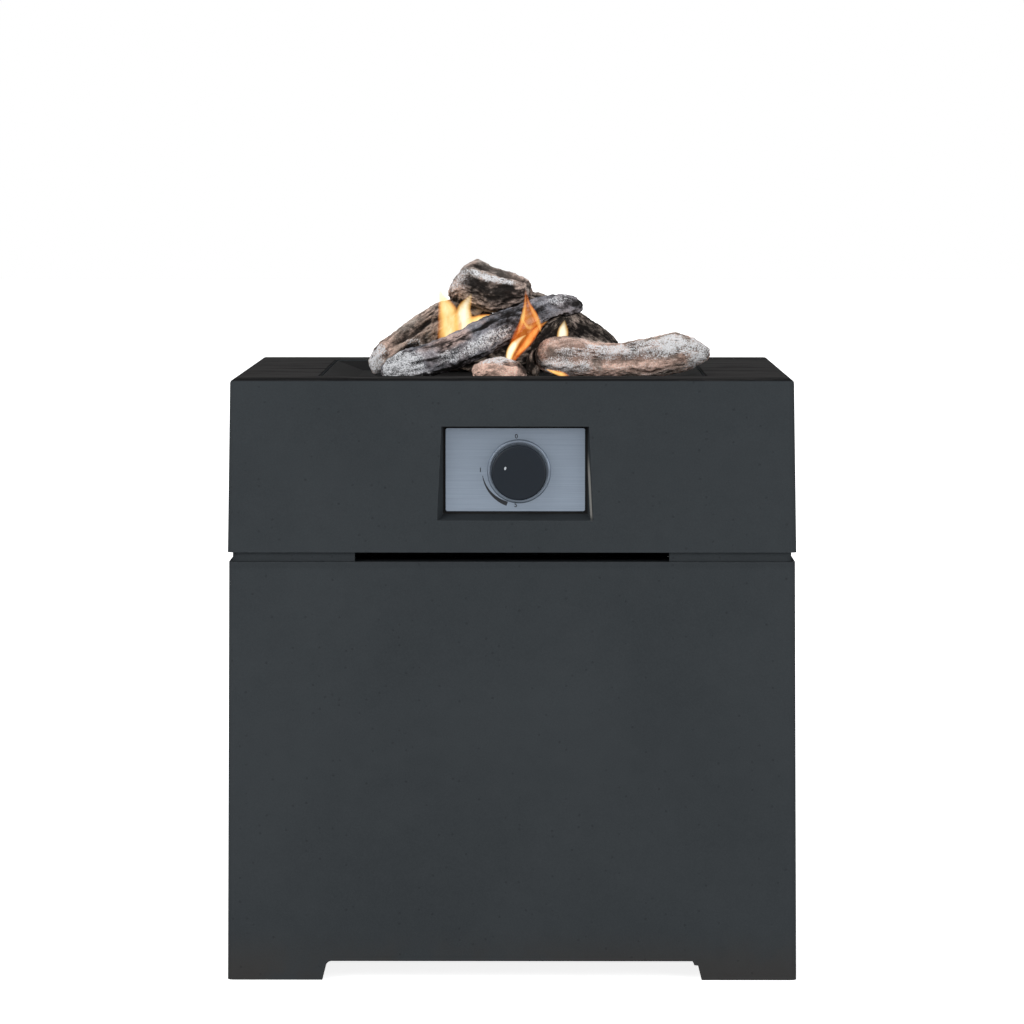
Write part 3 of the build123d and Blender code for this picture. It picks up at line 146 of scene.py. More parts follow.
class FIREPIT_PG_logs(bpy.types.PropertyGroup):
    """Ceramic logs"""
    # Also the colour of painted shade: faces that look down, the hollows and the prop log
    char: FloatVectorProperty(
        name="Char", description="Burnt black in cracks and below", default=srgb(25, 22, 21), **COLOUR)
    bark: FloatVectorProperty(
        name="Bark", description="Grey-brown of the bark", default=srgb(158, 146, 137), **COLOUR)
    rose: FloatVectorProperty(
        name="Rose", description="Pinkish wood under the bark", default=srgb(232, 194, 177), **COLOUR)
    ash: FloatVectorProperty(
        name="Ash", description="White ash on ridges", default=srgb(249, 250, 253), **COLOUR)
    slate: FloatVectorProperty(
        name="Slate", description="Blue-grey char on the front log",
        default=srgb(116, 122, 134), **COLOUR)
    spacing: FloatProperty(
        name="Mesh spacing", description="Distance between the skin's points",
        default=1.3 * MM, min=0.8 * MM, **LENGTH)
    furrow: FloatProperty(
        name="Furrow", description="Depth of the furrows in the bark",
        default=2.4 * MM, min=0.0, **LENGTH)
    crust: FloatProperty(
        name="Crust", description="Height of the coarse crust", default=0.9 * MM, min=0.0, **LENGTH)
    lump: FloatProperty(
        name="Lump", description="Height of the large lumps", default=2.4 * MM, min=0.0, **LENGTH)
    smoothing: IntProperty(
        name="Smoothing", description="Rounds of softening of the cast's corners", default=14, min=0)


class FIREPIT_PG_flames(bpy.types.PropertyGroup):
    """Flames"""
    core: FloatVectorProperty(
        name="Core", description="Hottest part of a flame", default=srgb(255, 244, 214), **COLOUR)
    body: FloatVectorProperty(
        name="Body", description="Middle of a flame", default=srgb(255, 206, 120), **COLOUR)
    edge: FloatVectorProperty(
        name="Edge", description="Cooler rim of a flame", default=srgb(220, 98, 15), **COLOUR)
    glow: FloatProperty(
        name="Glow", description="Brightness of one sheet of flame", default=1.4, min=0.0)
    bulge: FloatProperty(
        name="Bulge", description="Depth of a flame for its width", default=0.55, min=0.05, max=1.0)


class FIREPIT_PG_stage(bpy.types.PropertyGroup):
    """Studio"""
    camera_place: FloatVectorProperty(
        name="Camera", description="Place of the camera",
        default=(0.02847, -5.21245, 0.8566), subtype="TRANSLATION", unit="LENGTH")
    pitch: FloatProperty(
        name="Pitch", description="How far the camera looks down",
        default=radians(4.2124), subtype="ANGLE", unit="ROTATION")
    yaw: FloatProperty(
        name="Yaw", description="How far the camera looks to the right",
        default=radians(-0.3314), subtype="ANGLE", unit="ROTATION")
    lens: FloatProperty(
        name="Lens", description="Focal length on a 36 mm sensor",
        default=165.456, min=10.0, unit="CAMERA")
    room_light: FloatProperty(
        name="Room light", description="Light that comes from all round", default=0.72, min=0.0)
    key_power: FloatProperty(
        name="Key light", description="Power of the large key lamp",
        default=60.0, min=0.0, unit="POWER")
    floor: FloatVectorProperty(
        name="Floor", description="Pale floor", default=srgb(236, 237, 238), **COLOUR)
    floor_glow: FloatProperty(
        name="Floor glow", description="How far the floor is lifted to white", default=0.86,
        min=0.0)


SETTINGS = {
    "firepit_blocks": FIREPIT_PG_blocks,
    "firepit_control": FIREPIT_PG_control,
    "firepit_logs": FIREPIT_PG_logs,
    "firepit_flames": FIREPIT_PG_flames,
    "firepit_stage": FIREPIT_PG_stage,
}


# --- Shader nodes ---


class Net:
    """Adds and joins the nodes of one shader tree."""

    def __init__(self, tree):
        self.tree = tree

    def feed(self, node, inputs):
        """Sets a node's inputs, or links other nodes to them."""
        for name, value in inputs.items():
            socket = node.inputs[name]
            if isinstance(value, bpy.types.Node):
                value = value.outputs[0]
            if isinstance(value, bpy.types.NodeSocket):
                self.tree.links.new(value, socket)
            elif socket.type == "RGBA":
                socket.default_value = (*value[:3], 1.0)
            else:
                socket.default_value = value
        return node

    def add(self, kind, inputs=None, **settings):
        node = self.tree.nodes.new("ShaderNode" + kind)
        for name, value in settings.items():
            setattr(node, name, value)
        return self.feed(node, inputs or {})

    def place(self, stretch=None):
        """Coordinates in the piece's own metres, stretched by a factor each way."""
        spot = self.add("TexCoord").outputs["Object"]
        return self.add("Mapping", {"Vector": spot, "Scale": stretch}) if stretch else spot

    def split(self, vector):
        return self.add("SeparateXYZ", {0: vector}).outputs

    def noise(self, vector, scale, detail=4.0, roughness=0.55, distortion=0.0):
        return self.add("TexNoise", {"Vector": vector, "Scale": scale, "Detail": detail,
                                     "Roughness": roughness, "Distortion": distortion})

    def maths(self, operation, *values):
        return self.add("Math", dict(enumerate(values)), operation=operation)

    def plus(self, first, second):
        return self.maths("ADD", first, second)

    def minus(self, first, second):
        return self.maths("SUBTRACT", first, second)

    def times(self, first, *factors):
        for factor in factors:
            first = self.maths("MULTIPLY", first, factor)
        return first

    def scaled_plus(self, value, factor, more):
        return self.maths("MULTIPLY_ADD", value, factor, more)

    def off(self, value, middle):
        """Distance of a value from a middle."""
        return self.maths("ABSOLUTE", self.minus(value, middle))

    def span(self, value, low, high, to_low=0.0, to_high=1.0):
        """Smooth step of a value from one range to another."""
        return self.add("MapRange", {"Value": value, "From Min": low, "From Max": high,
                                     "To Min": to_low, "To Max": to_high},
                        interpolation_type="SMOOTHSTEP")

    def mix(self, factor, first, second, blend="MIX"):
        return self.add("Mix", {0: factor, 6: first, 7: second}, data_type="RGBA",
                        blend_type=blend).outputs[2]

    def coats(self, colour, *coats):
        """Colours laid one over another, each through its own mask."""
        for mask, coat in coats:
            colour = self.mix(mask, colour, coat)
        return colour

    def ramp(self, value, *stops):
        node = self.add("ValToRGB", {"Fac": value})
        while len(node.color_ramp.elements) < len(stops):
            node.color_ramp.elements.new(1.0)
        for element, (place, colour) in zip(node.color_ramp.elements, stops):
            element.position = place
            element.color = (*colour[:3], 1.0)
        return node.outputs["Color"]

    def bevel(self, radius, samples=4):
        """Normals rounded at the corners."""
        return self.add("Bevel", {"Radius": radius}, samples=samples)

    def bump(self, height, distance, strength, **normal):
        return self.add("Bump", {"Height": height, "Distance": distance, "Strength": strength,
                                 **normal})

    def attribute(self, name):
        return self.add("Attribute", attribute_name=name).outputs


def new_effect(name, defaults, build):
    """Shader node group with these inputs, and what build returns as its outputs."""
    group = bpy.data.node_groups.new(name, "ShaderNodeTree")
    for label, default in defaults.items():
        kind = "NodeSocketFloat" if isinstance(default, float) else "NodeSocketVector"
        socket = group.interface.new_socket(label, in_out="INPUT", socket_type=kind)
        socket.default_value = default
    net = Net(group)
    given = group.nodes.new("NodeGroupInput").outputs
    made = build(net, *[given[label] for label in defaults])
    for label in made:
        group.interface.new_socket(label, in_out="OUTPUT", socket_type="NodeSocketFloat")
    net.feed(group.nodes.new("NodeGroupOutput"), made)
    return group


def effect(**defaults):
    """Turns a function into a node group that all materials share, named by its docstring."""
    def decorate(build):
        name = build.__doc__.split(":")[0]

        def use(net, **inputs):
            group = bpy.data.node_groups.get(name) or new_effect(name, defaults, build)
            return net.add("Group", inputs, node_tree=group)
        return use
    return decorate


@effect(Scale=8.0, Softness=0.2)
def clouds(net, scale, softness):
    """Clouds: soft patches with a finer mottle in them."""
    spot = net.place()
    broad = net.noise(spot, scale, 3.0, 0.5, 0.4)
    fine = net.noise(spot, net.times(scale, 9.0), 4.0, 0.6)
    both = net.scaled_plus(fine, 0.35, net.times(broad, 0.65))
    return {"Mask": net.span(both, net.minus(0.5, softness), net.plus(0.5, softness))}


@effect(Radius=2 * MM, Breakup=90.0, Amount=1.0)
def rubbed_edges(net, radius, breakup, amount):
    """Rubbed edges: where a corner is worn, broken up by noise."""
    flat = net.add("NewGeometry").outputs["True Normal"]
    cosine = net.add("VectorMath", {0: net.bevel(radius), 1: flat}, operation="DOT_PRODUCT")
    bent = net.span(net.minus(1.0, cosine.outputs["Value"]), 0.01, 0.16)
    broken = net.span(net.noise(net.place(), breakup, 5.0, 0.65), 0.38, 0.62)
    return {"Mask": net.times(bent, broken, amount)}


@effect(Scale=140.0, Amount=0.4)
def pores(net, scale, amount):
    """Pores: small round pits, some cells left whole."""
    spots = net.add("TexVoronoi", {"Vector": net.place(), "Scale": scale})
    chance = net.add("SeparateColor", {0: spots.outputs["Color"]})
    mask = net.times(net.span(spots, 0.08, 0.26, 1.0, 0.0),
                     net.maths("LESS_THAN", chance, amount))
    return {"Mask": mask, "Height": net.times(mask, -1.0)}


@effect(Stretch=(8.0, 900.0, 900.0))
def brushing(net, stretch):
    """Brushing: fine lines drawn out one way."""
    spot = net.add("VectorMath", {0: net.place(), 1: stretch}, operation="MULTIPLY")
    return {"Lines": net.noise(spot, 1.0, 6.0, 0.7), "Streaks": net.noise(spot, 0.16, 3.0)}


@effect(Scale=30.0, Cover=0.5)
def dust_and_top_shade(net, scale, cover):
    """Settled dust: what lies on faces that look up."""
    up = net.split(net.add("NewGeometry").outputs["Normal"])["Z"]
    edge = net.minus(1.0, cover)
    thick = net.span(net.noise(net.place(), scale, 5.0, 0.6),
                     net.minus(edge, 0.18), net.plus(edge, 0.18))
    return {"Mask": net.times(net.span(up, 0.45, 0.95), thick)}


@effect()
def wood_fibre(net):
    """Wood fibre: fibres and pits along a log, from its straightened coordinates."""
    along = net.attribute("straight")["Vector"]
    drawn = net.add("VectorMath", {0: along, 1: (0.22, 1.0, 1.0)}, operation="MULTIPLY")
    fibres = net.noise(drawn, 420.0, 6.0, 0.68, 0.6)
    cells = net.add("TexVoronoi", {"Vector": drawn, "Scale": 300.0})
    pits = net.times(net.span(cells, 0.10, 0.42, 1.0, 0.0),
                     net.span(net.noise(along, 70.0, 3.0), 0.45, 0.6))
    mottle = net.noise(along, 340.0, 5.0, 0.75)
    return {
        "Fibres": fibres,
        "Pits": pits,
        "Mottle": mottle,
        "Grain": net.noise(along, 620.0, 3.0, 0.85),
        "Patches": net.noise(along, 38.0, 4.0, 0.6),
        "Height": net.minus(net.plus(fibres, mottle), pits),
    }


# --- Finishes ---


def finish(build, *values, name=None):
    """A material: build lays the nodes and returns what feeds the Principled sockets."""
    label = "firepit_" + (name or build.__name__)
    made = bpy.data.materials.get(label)
    if not made:
        made = bpy.data.materials.new(label)
        made.use_nodes = True
        net = Net(made.node_tree)
        net.feed(made.node_tree.nodes["Principled BSDF"], build(net, *values))
    return made


RECESS_EDGE = 108.6 * MM  # right-hand corner of the recess, brought down to the ground
RECESS_LEAN = 0.052  # how far that corner leans in for each unit of height
RECESS_DEPTH = -270 * MM  # the painted highlight ends here, going back
GLINT_HEIGHTS = (484 * MM, 560 * MM)  # heights between which the painted highlight runs up the corner
GLINT_ENDS = (8 * MM, 30 * MM)  # how softly the painted highlight starts and ends


def cast_concrete(net, blocks):
    """Cast anthracite: soft clouds, pores, rubbed edges, grime at the joint, soot on the top."""
    low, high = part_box("upper_shell")
    joint = (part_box("base_shell")[1].z + low.z) / 2
    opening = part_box("burner_tray")[1].x
    spot = net.place()
    x, y, z = net.split(spot)
    cloud = clouds(net, Scale=5.5, Softness=0.24)
    grain = net.noise(spot, 620.0, 4.0, 0.7)
    pore = pores(net, Scale=1 / blocks.pore, Amount=0.16).outputs
    rub = rubbed_edges(net, Radius=2.2 * MM, Breakup=120.0, Amount=0.5)
    # Painted highlight: light glinting on the rounded right-hand corner of the control recess
    painted_glint = net.times(
        net.span(net.off(net.scaled_plus(z, RECESS_LEAN, x), RECESS_EDGE),
                 0.5 * MM, 1.6 * MM, 1.0, 0.0),
        net.span(z, GLINT_HEIGHTS[0], GLINT_HEIGHTS[0] + GLINT_ENDS[0]),
        net.span(z, GLINT_HEIGHTS[1] - GLINT_ENDS[1], GLINT_HEIGHTS[1], 1.0, 0.0),
        net.maths("LESS_THAN", y, RECESS_DEPTH), 0.8)
    # Soot and painted shade on the top: the up-facing top takes darker colours, streaked, darkest
    # round the tray and along the front lip
    top_soot_and_shade = net.times(dust_and_top_shade(net, Scale=9.0, Cover=1.0),
                       net.span(z, high.z - 30 * MM, high.z - 10 * MM))
    off_middle = net.maths("MAXIMUM", net.off(x, 0.0), net.off(y, 0.0))
    at_lip = net.span(y, low.y + 4 * MM, low.y + 80 * MM, 0.22, 0.0)
    at_tray = net.span(off_middle, opening + 1 * MM, opening + 5 * MM, 0.6, 0.0)
    streaks = net.noise(net.place((2.2, 10.0, 1.0)), 4.0, 6.0, 0.7)
    dark_streaks = net.span(net.plus(streaks, net.plus(at_lip, at_tray)), 0.46, 0.72)
    ragged = net.times(net.noise(spot, 60.0, 5.0, 0.7), 9 * MM)
    grime = net.span(net.minus(net.off(z, joint), ragged), 0.0, 5 * MM, 0.1, 0.0)
    splash = net.times(net.span(z, 4 * MM, 60 * MM, 1.0, 0.0),
                       net.span(net.noise(spot, 9.0, 4.0, 0.6), 0.38, 0.58, 0.05, 0.42))
    colour = net.coats(
        net.mix(cloud, blocks.cloud, blocks.body),
        (net.times(net.span(grain, 0.3, 0.75), 0.16), blocks.bloom),
        (rub, blocks.bloom), (grime, blocks.soot_and_shade), (splash, blocks.splash), (painted_glint, blocks.painted_glint),
        (top_soot_and_shade, net.mix(dark_streaks, blocks.top_grey, blocks.soot_and_shade)),
        (net.times(pore["Mask"], 0.2), blocks.soot_and_shade))
    return {
        "Base Color": colour,
        "Roughness": net.maths("MAXIMUM", top_soot_and_shade, net.span(cloud, 0.0, 1.0, 0.94, 0.84)),
        "Specular IOR Level": 0.01,
        "Normal": net.bump(net.scaled_plus(grain, 0.12, pore["Height"]), 0.5 * MM, 0.6,
                           Normal=net.bevel(blocks.rounding, 6)),
    }


def heat_black_paint(net):
    """Matt heat-proof paint: fine tooth, grey bloom where it gets hot, dust."""
    cloud = clouds(net, Scale=14.0, Softness=0.22)
    dust = dust_and_top_shade(net, Scale=26.0, Cover=0.35)
    rub = rubbed_edges(net, Radius=0.8 * MM, Breakup=260.0, Amount=0.6)
    return {
        "Base Color": net.coats(net.mix(cloud, srgb(36, 36, 37), srgb(45, 45, 45)),
                                (net.times(dust, 0.2), srgb(50, 48, 47)),
                                (rub, srgb(84, 84, 86))),
        "Roughness": net.span(cloud, 0.0, 1.0, 0.7, 0.85),
        "Specular IOR Level": 0.01,
        "Normal": net.bump(net.noise(net.place(), 1500.0, 3.0, 0.6), 0.12 * MM, 0.5),
    }


def brushed_plate(net, control):
    """Brushed stainless plate: level brushing, a faint smear and a sheen that fades upwards."""
    low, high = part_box("control_plate")
    lines, streaks = brushing(net, Stretch=(9.0, 60.0, 1500.0)).outputs
    smear = clouds(net, Scale=22.0, Softness=0.3)
    rise = net.split(net.place())["Z"]
    steel = Vector(control.steel)
    # Painted reflection: the plate is shaded darker towards the top and stays lighter at the bottom
    return {
        "Base Color": net.coats(
            net.ramp(lines, (0.25, steel * 0.82), (0.5, steel), (0.8, steel * 1.16)),
            (net.times(smear, 0.16), steel * 0.74),
            (net.span(rise, low.z, high.z, 0.0, 0.42), steel * 0.55)),
        "Metallic": 1.0,
        "Roughness": net.scaled_plus(streaks, 0.16, 0.32),
        "Normal": net.bump(lines, 0.03 * MM, 0.5),
    }


def metal(net, bright, dull, low, high, grain=0.05 * MM, stretch=(700.0, 700.0, 90.0),
          rounding=0.3 * MM):
    """Bare or plated metal: dull clouds over a bright ground, with machining marks."""
    cloud = clouds(net, Scale=55.0, Softness=0.2)
    rub = rubbed_edges(net, Radius=0.5 * MM, Breakup=400.0, Amount=0.7)
    marks = brushing(net, Stretch=stretch)
    worn = [min(1.0, part * 1.35) for part in bright]
    return {
        "Base Color": net.mix(rub, net.mix(cloud, dull, bright), worn),
        "Metallic": 1.0,
        "Roughness": net.span(cloud, 0.0, 1.0, high, low),
        "Normal": net.bump(marks, grain, 0.5, Normal=net.bevel(rounding)),
    }


def moulded(net, colour, worn, low, high, tooth=900.0, height=0.06 * MM, gloss=0.5):
    """Moulded plastic, rubber or glaze: fine tooth, slight clouds and worn edges."""
    cloud = clouds(net, Scale=40.0, Softness=0.25)
    rub = rubbed_edges(net, Radius=0.7 * MM, Breakup=300.0, Amount=0.5)
    dark = [part * 0.82 for part in colour]
    return {
        "Base Color": net.mix(rub, net.mix(cloud, dark, colour), worn),
        "Roughness": net.span(cloud, 0.0, 1.0, high, low),
        "Specular IOR Level": gloss,
        "Normal": net.bump(net.noise(net.place(), tooth, 3.0, 0.6), height, 0.5),
    }


def zinc_plate(net):
    return metal(net, srgb(176, 180, 184), srgb(132, 136, 140), 0.34, 0.5)


def machined_brass(net):
    return metal(net, srgb(196, 164, 96), srgb(146, 116, 62), 0.28, 0.46)


def die_cast_alloy(net):
    return metal(net, srgb(164, 166, 168), srgb(124, 126, 130), 0.5, 0.66, 0.12 * MM,
                 (420.0, 420.0, 420.0))


def dull_copper(net):
    return metal(net, srgb(188, 122, 88), srgb(126, 82, 62), 0.36, 0.54)


def pilot_steel(net):
    return metal(net, srgb(150, 146, 140), srgb(104, 98, 92), 0.36, 0.58)


def catch_ferrite(net):
    return metal(net, srgb(70, 70, 72), srgb(48, 48, 50), 0.6, 0.75)


def bezel_steel(net, control):
    steel = Vector(control.steel)
    return metal(net, steel * 0.84, steel * 0.72, 0.40, 0.52, stretch=(120.0, 120.0, 120.0),
                 rounding=2.4 * MM)


def igniter_case(net):
    return moulded(net, srgb(38, 38, 40), srgb(70, 70, 72), 0.45, 0.6)


def nylon(net):
    return moulded(net, srgb(214, 210, 198), srgb(232, 230, 222), 0.42, 0.55)


def lead_rubber(net):
    return moulded(net, srgb(34, 34, 35), srgb(60, 60, 62), 0.6, 0.75)


def glazed_ceramic(net):
    return moulded(net, srgb(228, 226, 216), srgb(240, 238, 232), 0.16, 0.26, 260.0)


def pointer_inlay(net):
    return moulded(net, srgb(186, 192, 198), srgb(214, 218, 222), 0.5, 0.6)


def knob_plastic(net, control):
    return moulded(net, control.knob, srgb(66, 76, 84), 0.36, 0.46, 1400.0, 0.03 * MM, 0.25)


def printed_ink(net, control):
    return moulded(net, control.ink, srgb(70, 74, 82), 0.5, 0.62)


def log_ceramic(net, logs, look):
    """Painted ceramic log: char in the hollows, bark, rose wood or slate, and flecks of ash."""
    fibre = wood_fibre(net).outputs
    relief = net.attribute("relief")["Fac"]
    ashen, charred_and_shaded, rosy = net.add("SeparateColor",
                                   {0: net.attribute("tone")["Color"]}).outputs
    patch = net.times(net.span(fibre["Patches"], 0.40, 0.60), look["rose"])
    wood = net.coats(logs.bark, (look.get("slate", 0.0), logs.slate),
                     (net.maths("MAXIMUM", patch, rosy), logs.rose))
    streaks = net.scaled_plus(fibre["Fibres"], 0.4, net.times(fibre["Mottle"], 0.3))
    level = net.scaled_plus(relief, 0.45, streaks)
    # Painted shade and light: the wood is darkened in the hollows and lightened on the ridges, more so
    # on sootier logs
    value = net.times(net.span(level, 0.40, 0.78, 0.6 - 0.34 * look["soot_and_shade"], 1.6),
                      net.span(fibre["Grain"], 0.3, 0.7, 0.7, 1.35))
    frost = net.plus(net.times(ashen, 0.8), look["ash"])
    sieve = net.minus(net.scaled_plus(relief, 0.14, fibre["Grain"]),
                      net.span(frost, 0.0, 1.0, 0.72, 0.46))
    cover = net.times(net.span(sieve, 0.0, 0.14), net.span(frost, 0.0, 0.8, 0.55, 0.95))
    # Char and painted shade in the hollows and on the faces that look down
    hollow = net.times(net.minus(0.55, level), 2.6 * look["soot_and_shade"])
    dark = net.span(net.plus(charred_and_shaded, hollow), 0.12, 0.95, 0.0, 0.94)
    return {
        "Base Color": net.coats(net.mix(1.0, wood, value, "MULTIPLY"), (cover, logs.ash),
                                (dark, logs.char), (net.times(fibre["Pits"], 0.75), logs.char)),
        "Roughness": net.span(fibre["Mottle"], 0.3, 0.7, 0.98, 0.86),
        "Specular IOR Level": 0.15,
        "Normal": net.bump(fibre["Height"], 1.1 * MM, 0.9),
    }


def burning_gas(net, flames):
    """Glowing gas: thin sheets that add up, hot at the core and orange at the rim."""
    wisp = net.noise(net.place((1.0, 1.0, 0.4)), 110.0, 3.0, 0.5, 0.9)
    uneven = net.times(net.minus(wisp, 0.5), 0.6)
    return {
        "Base Color": BLACK,
        "Roughness": 1.0,
        "Specular IOR Level": 0.0,
        "Emission Color": net.ramp(net.plus(net.attribute("warmth")["Fac"], uneven),
                                   (0.10, flames.edge), (0.50, flames.body),
                                   (0.90, flames.core)),
        "Emission Strength": flames.glow,
        "Alpha": net.times(net.attribute("veil")["Fac"], net.span(wisp, 0.28, 0.60, 0.26, 0.50)),
    }


def skin(piece, material):
    if piece.material_slots:
        piece.material_slots[0].material = material
    else:
        piece.data.materials.append(material)


def dress(slot, build, *values):
    """Gives a finish to every CAD piece of a slot."""
    for piece in frame["record"]["subparts"]:
        if piece["material_slot"] == slot:
            skin(frame["nodes"][piece["node"]], finish(build, *values))


# --- Meshes ---


def put(name, data):
    """New object in the scene."""
    thing = bpy.data.objects.new(name, data)
    bpy.context.scene.collection.objects.link(thing)
    return thing


def new_piece(name, mesh, material):
    """Puts a finished mesh in the scene as a piece that rides on the upper block."""
    piece = put(name, mesh)
    skin(piece, material)
    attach(piece, "burner_unit")
    return piece


def settle(holder):
    """Mesh of an object with its modifiers; the object goes."""
    graph = bpy.context.evaluated_depsgraph_get()
    mesh = bpy.data.meshes.new_from_object(holder.evaluated_get(graph))
    bpy.data.objects.remove(holder)
    return mesh


def read(items, field, width, kind=float):
    """One field of a mesh's points or edges, a row for each."""
    found = np.zeros(len(items) * width, kind)
    items.foreach_get(field, found)
    return found.reshape(-1, width)


def move(mesh, places):
    mesh.vertices.foreach_set("co", places.ravel())
    mesh.update()


def keep_values(mesh, **fields):
    """Stores a value, a vector or a colour for each point of a mesh."""
    for name, values in fields.items():
        values = np.asarray(values, np.float32)
        kind, field = {1: ("FLOAT", "value"), 3: ("FLOAT_VECTOR", "vector"),
                       4: ("FLOAT_COLOR", "color")}[values.size // len(mesh.vertices)]
        mesh.attributes.new(name, kind, "POINT").data.foreach_set(field, values.ravel())


# --- Logs ---

# Each log: how much slate, rose, ash and soot its paint has (soot also sets how dark its painted shade
# is), the seed and depth of its bark, and its tones. A tone is a patch of ash, of char (which also
# carries painted shade) or of rose: where along the log, towards which side (0 is up, 90 the front),
# how long and how wide it is, and how strong.
LOGS = {
    "log_front": dict(slate=0.8, rose=0.1, ash=0.22, soot_and_shade=0.95, seed=3.0, furrow=0.8, tones=(
        ("ash", 0.02, 80, 0.13, 90, 1.0), ("ash", 0.42, 92, 0.20, 22, 0.7),
        ("ash", 0.88, 50, 0.08, 26, 0.5), ("char", 0.20, 66, 0.12, 34, 0.6),
        ("rose", 0.30, 34, 0.13, 26, 0.5), ("char", 0.42, 40, 0.18, 12, 0.6),
        ("char", 0.66, 62, 0.10, 60, 0.45), ("char", 0.98, 100, 0.07, 50, 1.0))),
    "log_back_left": dict(rose=0.25, ash=0.2, soot_and_shade=1.1, seed=11.0, furrow=1.2, tones=(
        ("ash", 0.03, 60, 0.09, 100, 0.9), ("ash", 0.36, 100, 0.05, 30, 0.6),
        ("rose", 0.16, 50, 0.10, 60, 0.5), ("char", 0.50, 130, 0.60, 34, 0.8),
        ("char", 0.66, 20, 0.25, 60, 0.5))),
    "log_rear": dict(rose=0.1, ash=0.05, soot_and_shade=1.0, seed=17.0, furrow=1.0, tones=(
        ("char", 0.50, 60, 1.00, 180, 0.75),)),
    "log_back_right": dict(rose=0.1, ash=0.05, soot_and_shade=1.0, seed=23.0, furrow=0.9, tones=(
        ("char", 0.60, 90, 0.80, 130, 0.7),)),
    # Painted shade: the prop is charred all over and kept dark as the shade in the gap between the
    # logs
    "log_prop": dict(rose=0.0, ash=0.0, soot_and_shade=1.0, seed=29.0, furrow=0.9, tones=(
        ("char", 0.50, 90, 1.00, 180, 0.95),)),
    "log_right": dict(rose=0.9, ash=0.42, soot_and_shade=0.25, seed=37.0, furrow=0.5, tones=(
        ("ash", 0.66, 62, 0.28, 24, 1.0), ("ash", 0.96, 80, 0.08, 80, 0.8),
        ("ash", 0.16, 118, 0.16, 26, 0.6), ("ash", 0.24, 78, 0.10, 16, 0.6),
        ("rose", 0.30, 45, 0.25, 30, 0.7), ("rose", 0.60, 118, 0.25, 26, 0.8),
        ("char", 0.0, 80, 0.05, 120, 0.9), ("char", 0.86, 120, 0.06, 22, 0.4))),
    "log_stub": dict(rose=1.0, ash=0.15, soot_and_shade=0.35, seed=41.0, furrow=0.4, tones=(
        ("ash", 0.45, 30, 0.30, 30, 0.9), ("rose", 0.40, 80, 0.60, 90, 0.9),
        ("char", 0.90, 80, 0.16, 90, 0.8))),
    "log_top": dict(slate=0.1, rose=0.25, ash=0.25, soot_and_shade=0.75, seed=53.0, furrow=0.9, tones=(
        ("ash", 0.62, 57, 0.24, 12, 1.0), ("ash", 0.18, 70, 0.14, 50, 0.6),
        ("rose", 0.14, 100, 0.14, 40, 0.7), ("char", 0.64, 98, 0.40, 30, 1.0),
        ("char", 0.36, 22, 0.10, 24, 0.4), ("char", 0.97, 60, 0.10, 80, 0.6))),
}
# Grooves that run along a log: side, depth in millimetres, width in degrees, start and end
GROOVES = {
    "log_right": ((90, 3.4, 24, 0.02, 0.80),),
    "log_front": ((34, 2.0, 14, 0.18, 0.80),),
    "log_back_left": ((60, 2.4, 16, 0.10, 0.95),),
    "log_top": ((26, 2.2, 15, 0.25, 0.95), (78, 2.0, 16, 0.1, 0.9)),
}
GROOVE_ENDS = 0.12  # share of the log over which a groove runs out
GROOVE_WANDER = 14  # degrees by which a groove strays


def even_skin(node, spacing):
    """Even mesh of a CAD node's outside."""
    welded = bmesh.new()
    welded.from_mesh(frame["nodes"][node].data)
    bmesh.ops.remove_doubles(welded, verts=welded.verts, dist=0.001 * MM)
    mesh = bpy.data.meshes.new(node)
    welded.to_mesh(mesh)
    welded.free()
    holder = put(node + "_skin", mesh)
    remesh = holder.modifiers.new("Even", "REMESH")
    remesh.mode = "VOXEL"
    remesh.voxel_size = spacing
    even = settle(holder)
    bpy.data.meshes.remove(mesh)
    even.name = node
    return even


def soften(mesh, rounds):
    """Rounds the corners of a mesh by moving each point towards its neighbours."""
    first, second = read(mesh.edges, "vertices", 2, np.int32).T
    near = np.concatenate((first, second))
    far = np.concatenate((second, first))
    places = read(mesh.vertices, "co", 3)
    count = np.bincount(near, minlength=len(places))[:, None]
    for _ in range(rounds):
        total = np.stack([np.bincount(near, column[far], len(places)) for column in places.T], 1)
        places = (places + total / count) / 2
    move(mesh, places)


def straighten(places, slices=18):
    """Coordinates along and across a bent log: along it, then up and to the front of it."""
    middle = places.mean(0)
    vectors = np.linalg.eigh(np.cov((places - middle).T))[1]
    axis = vectors[:, -1] * (1 if vectors[0, -1] > 0 else -1)
    along = (places - middle) @ axis
    edges = np.linspace(along.min(), along.max(), slices + 1)
    index = np.clip(np.digitize(along, edges) - 1, 0, slices - 1)
    count = np.maximum(np.bincount(index, minlength=slices), 1)
    centres = np.stack([np.bincount(index, column, slices) / count for column in places.T], 1)
    centres[1:-1] = (centres[:-2] + 2 * centres[1:-1] + centres[2:]) / 4
    spots = (edges[1:] + edges[:-1]) / 2
    centre = np.stack([np.interp(along, spots, column) for column in centres.T], 1)
    front = np.cross(axis, (0.0, 0.0, 1.0))
    front /= np.linalg.norm(front)
    up = np.cross(front, axis)
    out = places - centre
    return np.stack((along - along.min(), out @ up, out @ front), 1)


def half_turn(angle):
    """The same angle between -180 and 180 degrees."""
    return (angle + 180) % 360 - 180


def bark_relief(straight, seed):
    """Lumps, furrows and crust of the bark, each as a share of its full size."""
    shift = Vector((seed, -seed, seed * 0.5))
    rows = []
    for along, up, front in straight:
        broad = Vector((along * 26, up * 34, front * 34)) + shift
        drawn = Vector((along * 24, up * 110, front * 110)) + shift
        grit = Vector((along * 190, up * 300, front * 300)) + shift
        sway = Vector((0.0, noise.noise(broad * 2.0), noise.noise(broad * 2.3)))
        rows.append((noise.noise(broad), noise.fractal(drawn + sway, 0.9, 2.1, 3),
                     noise.fractal(grit, 0.8, 2.0, 2)))
    return np.array(rows).T


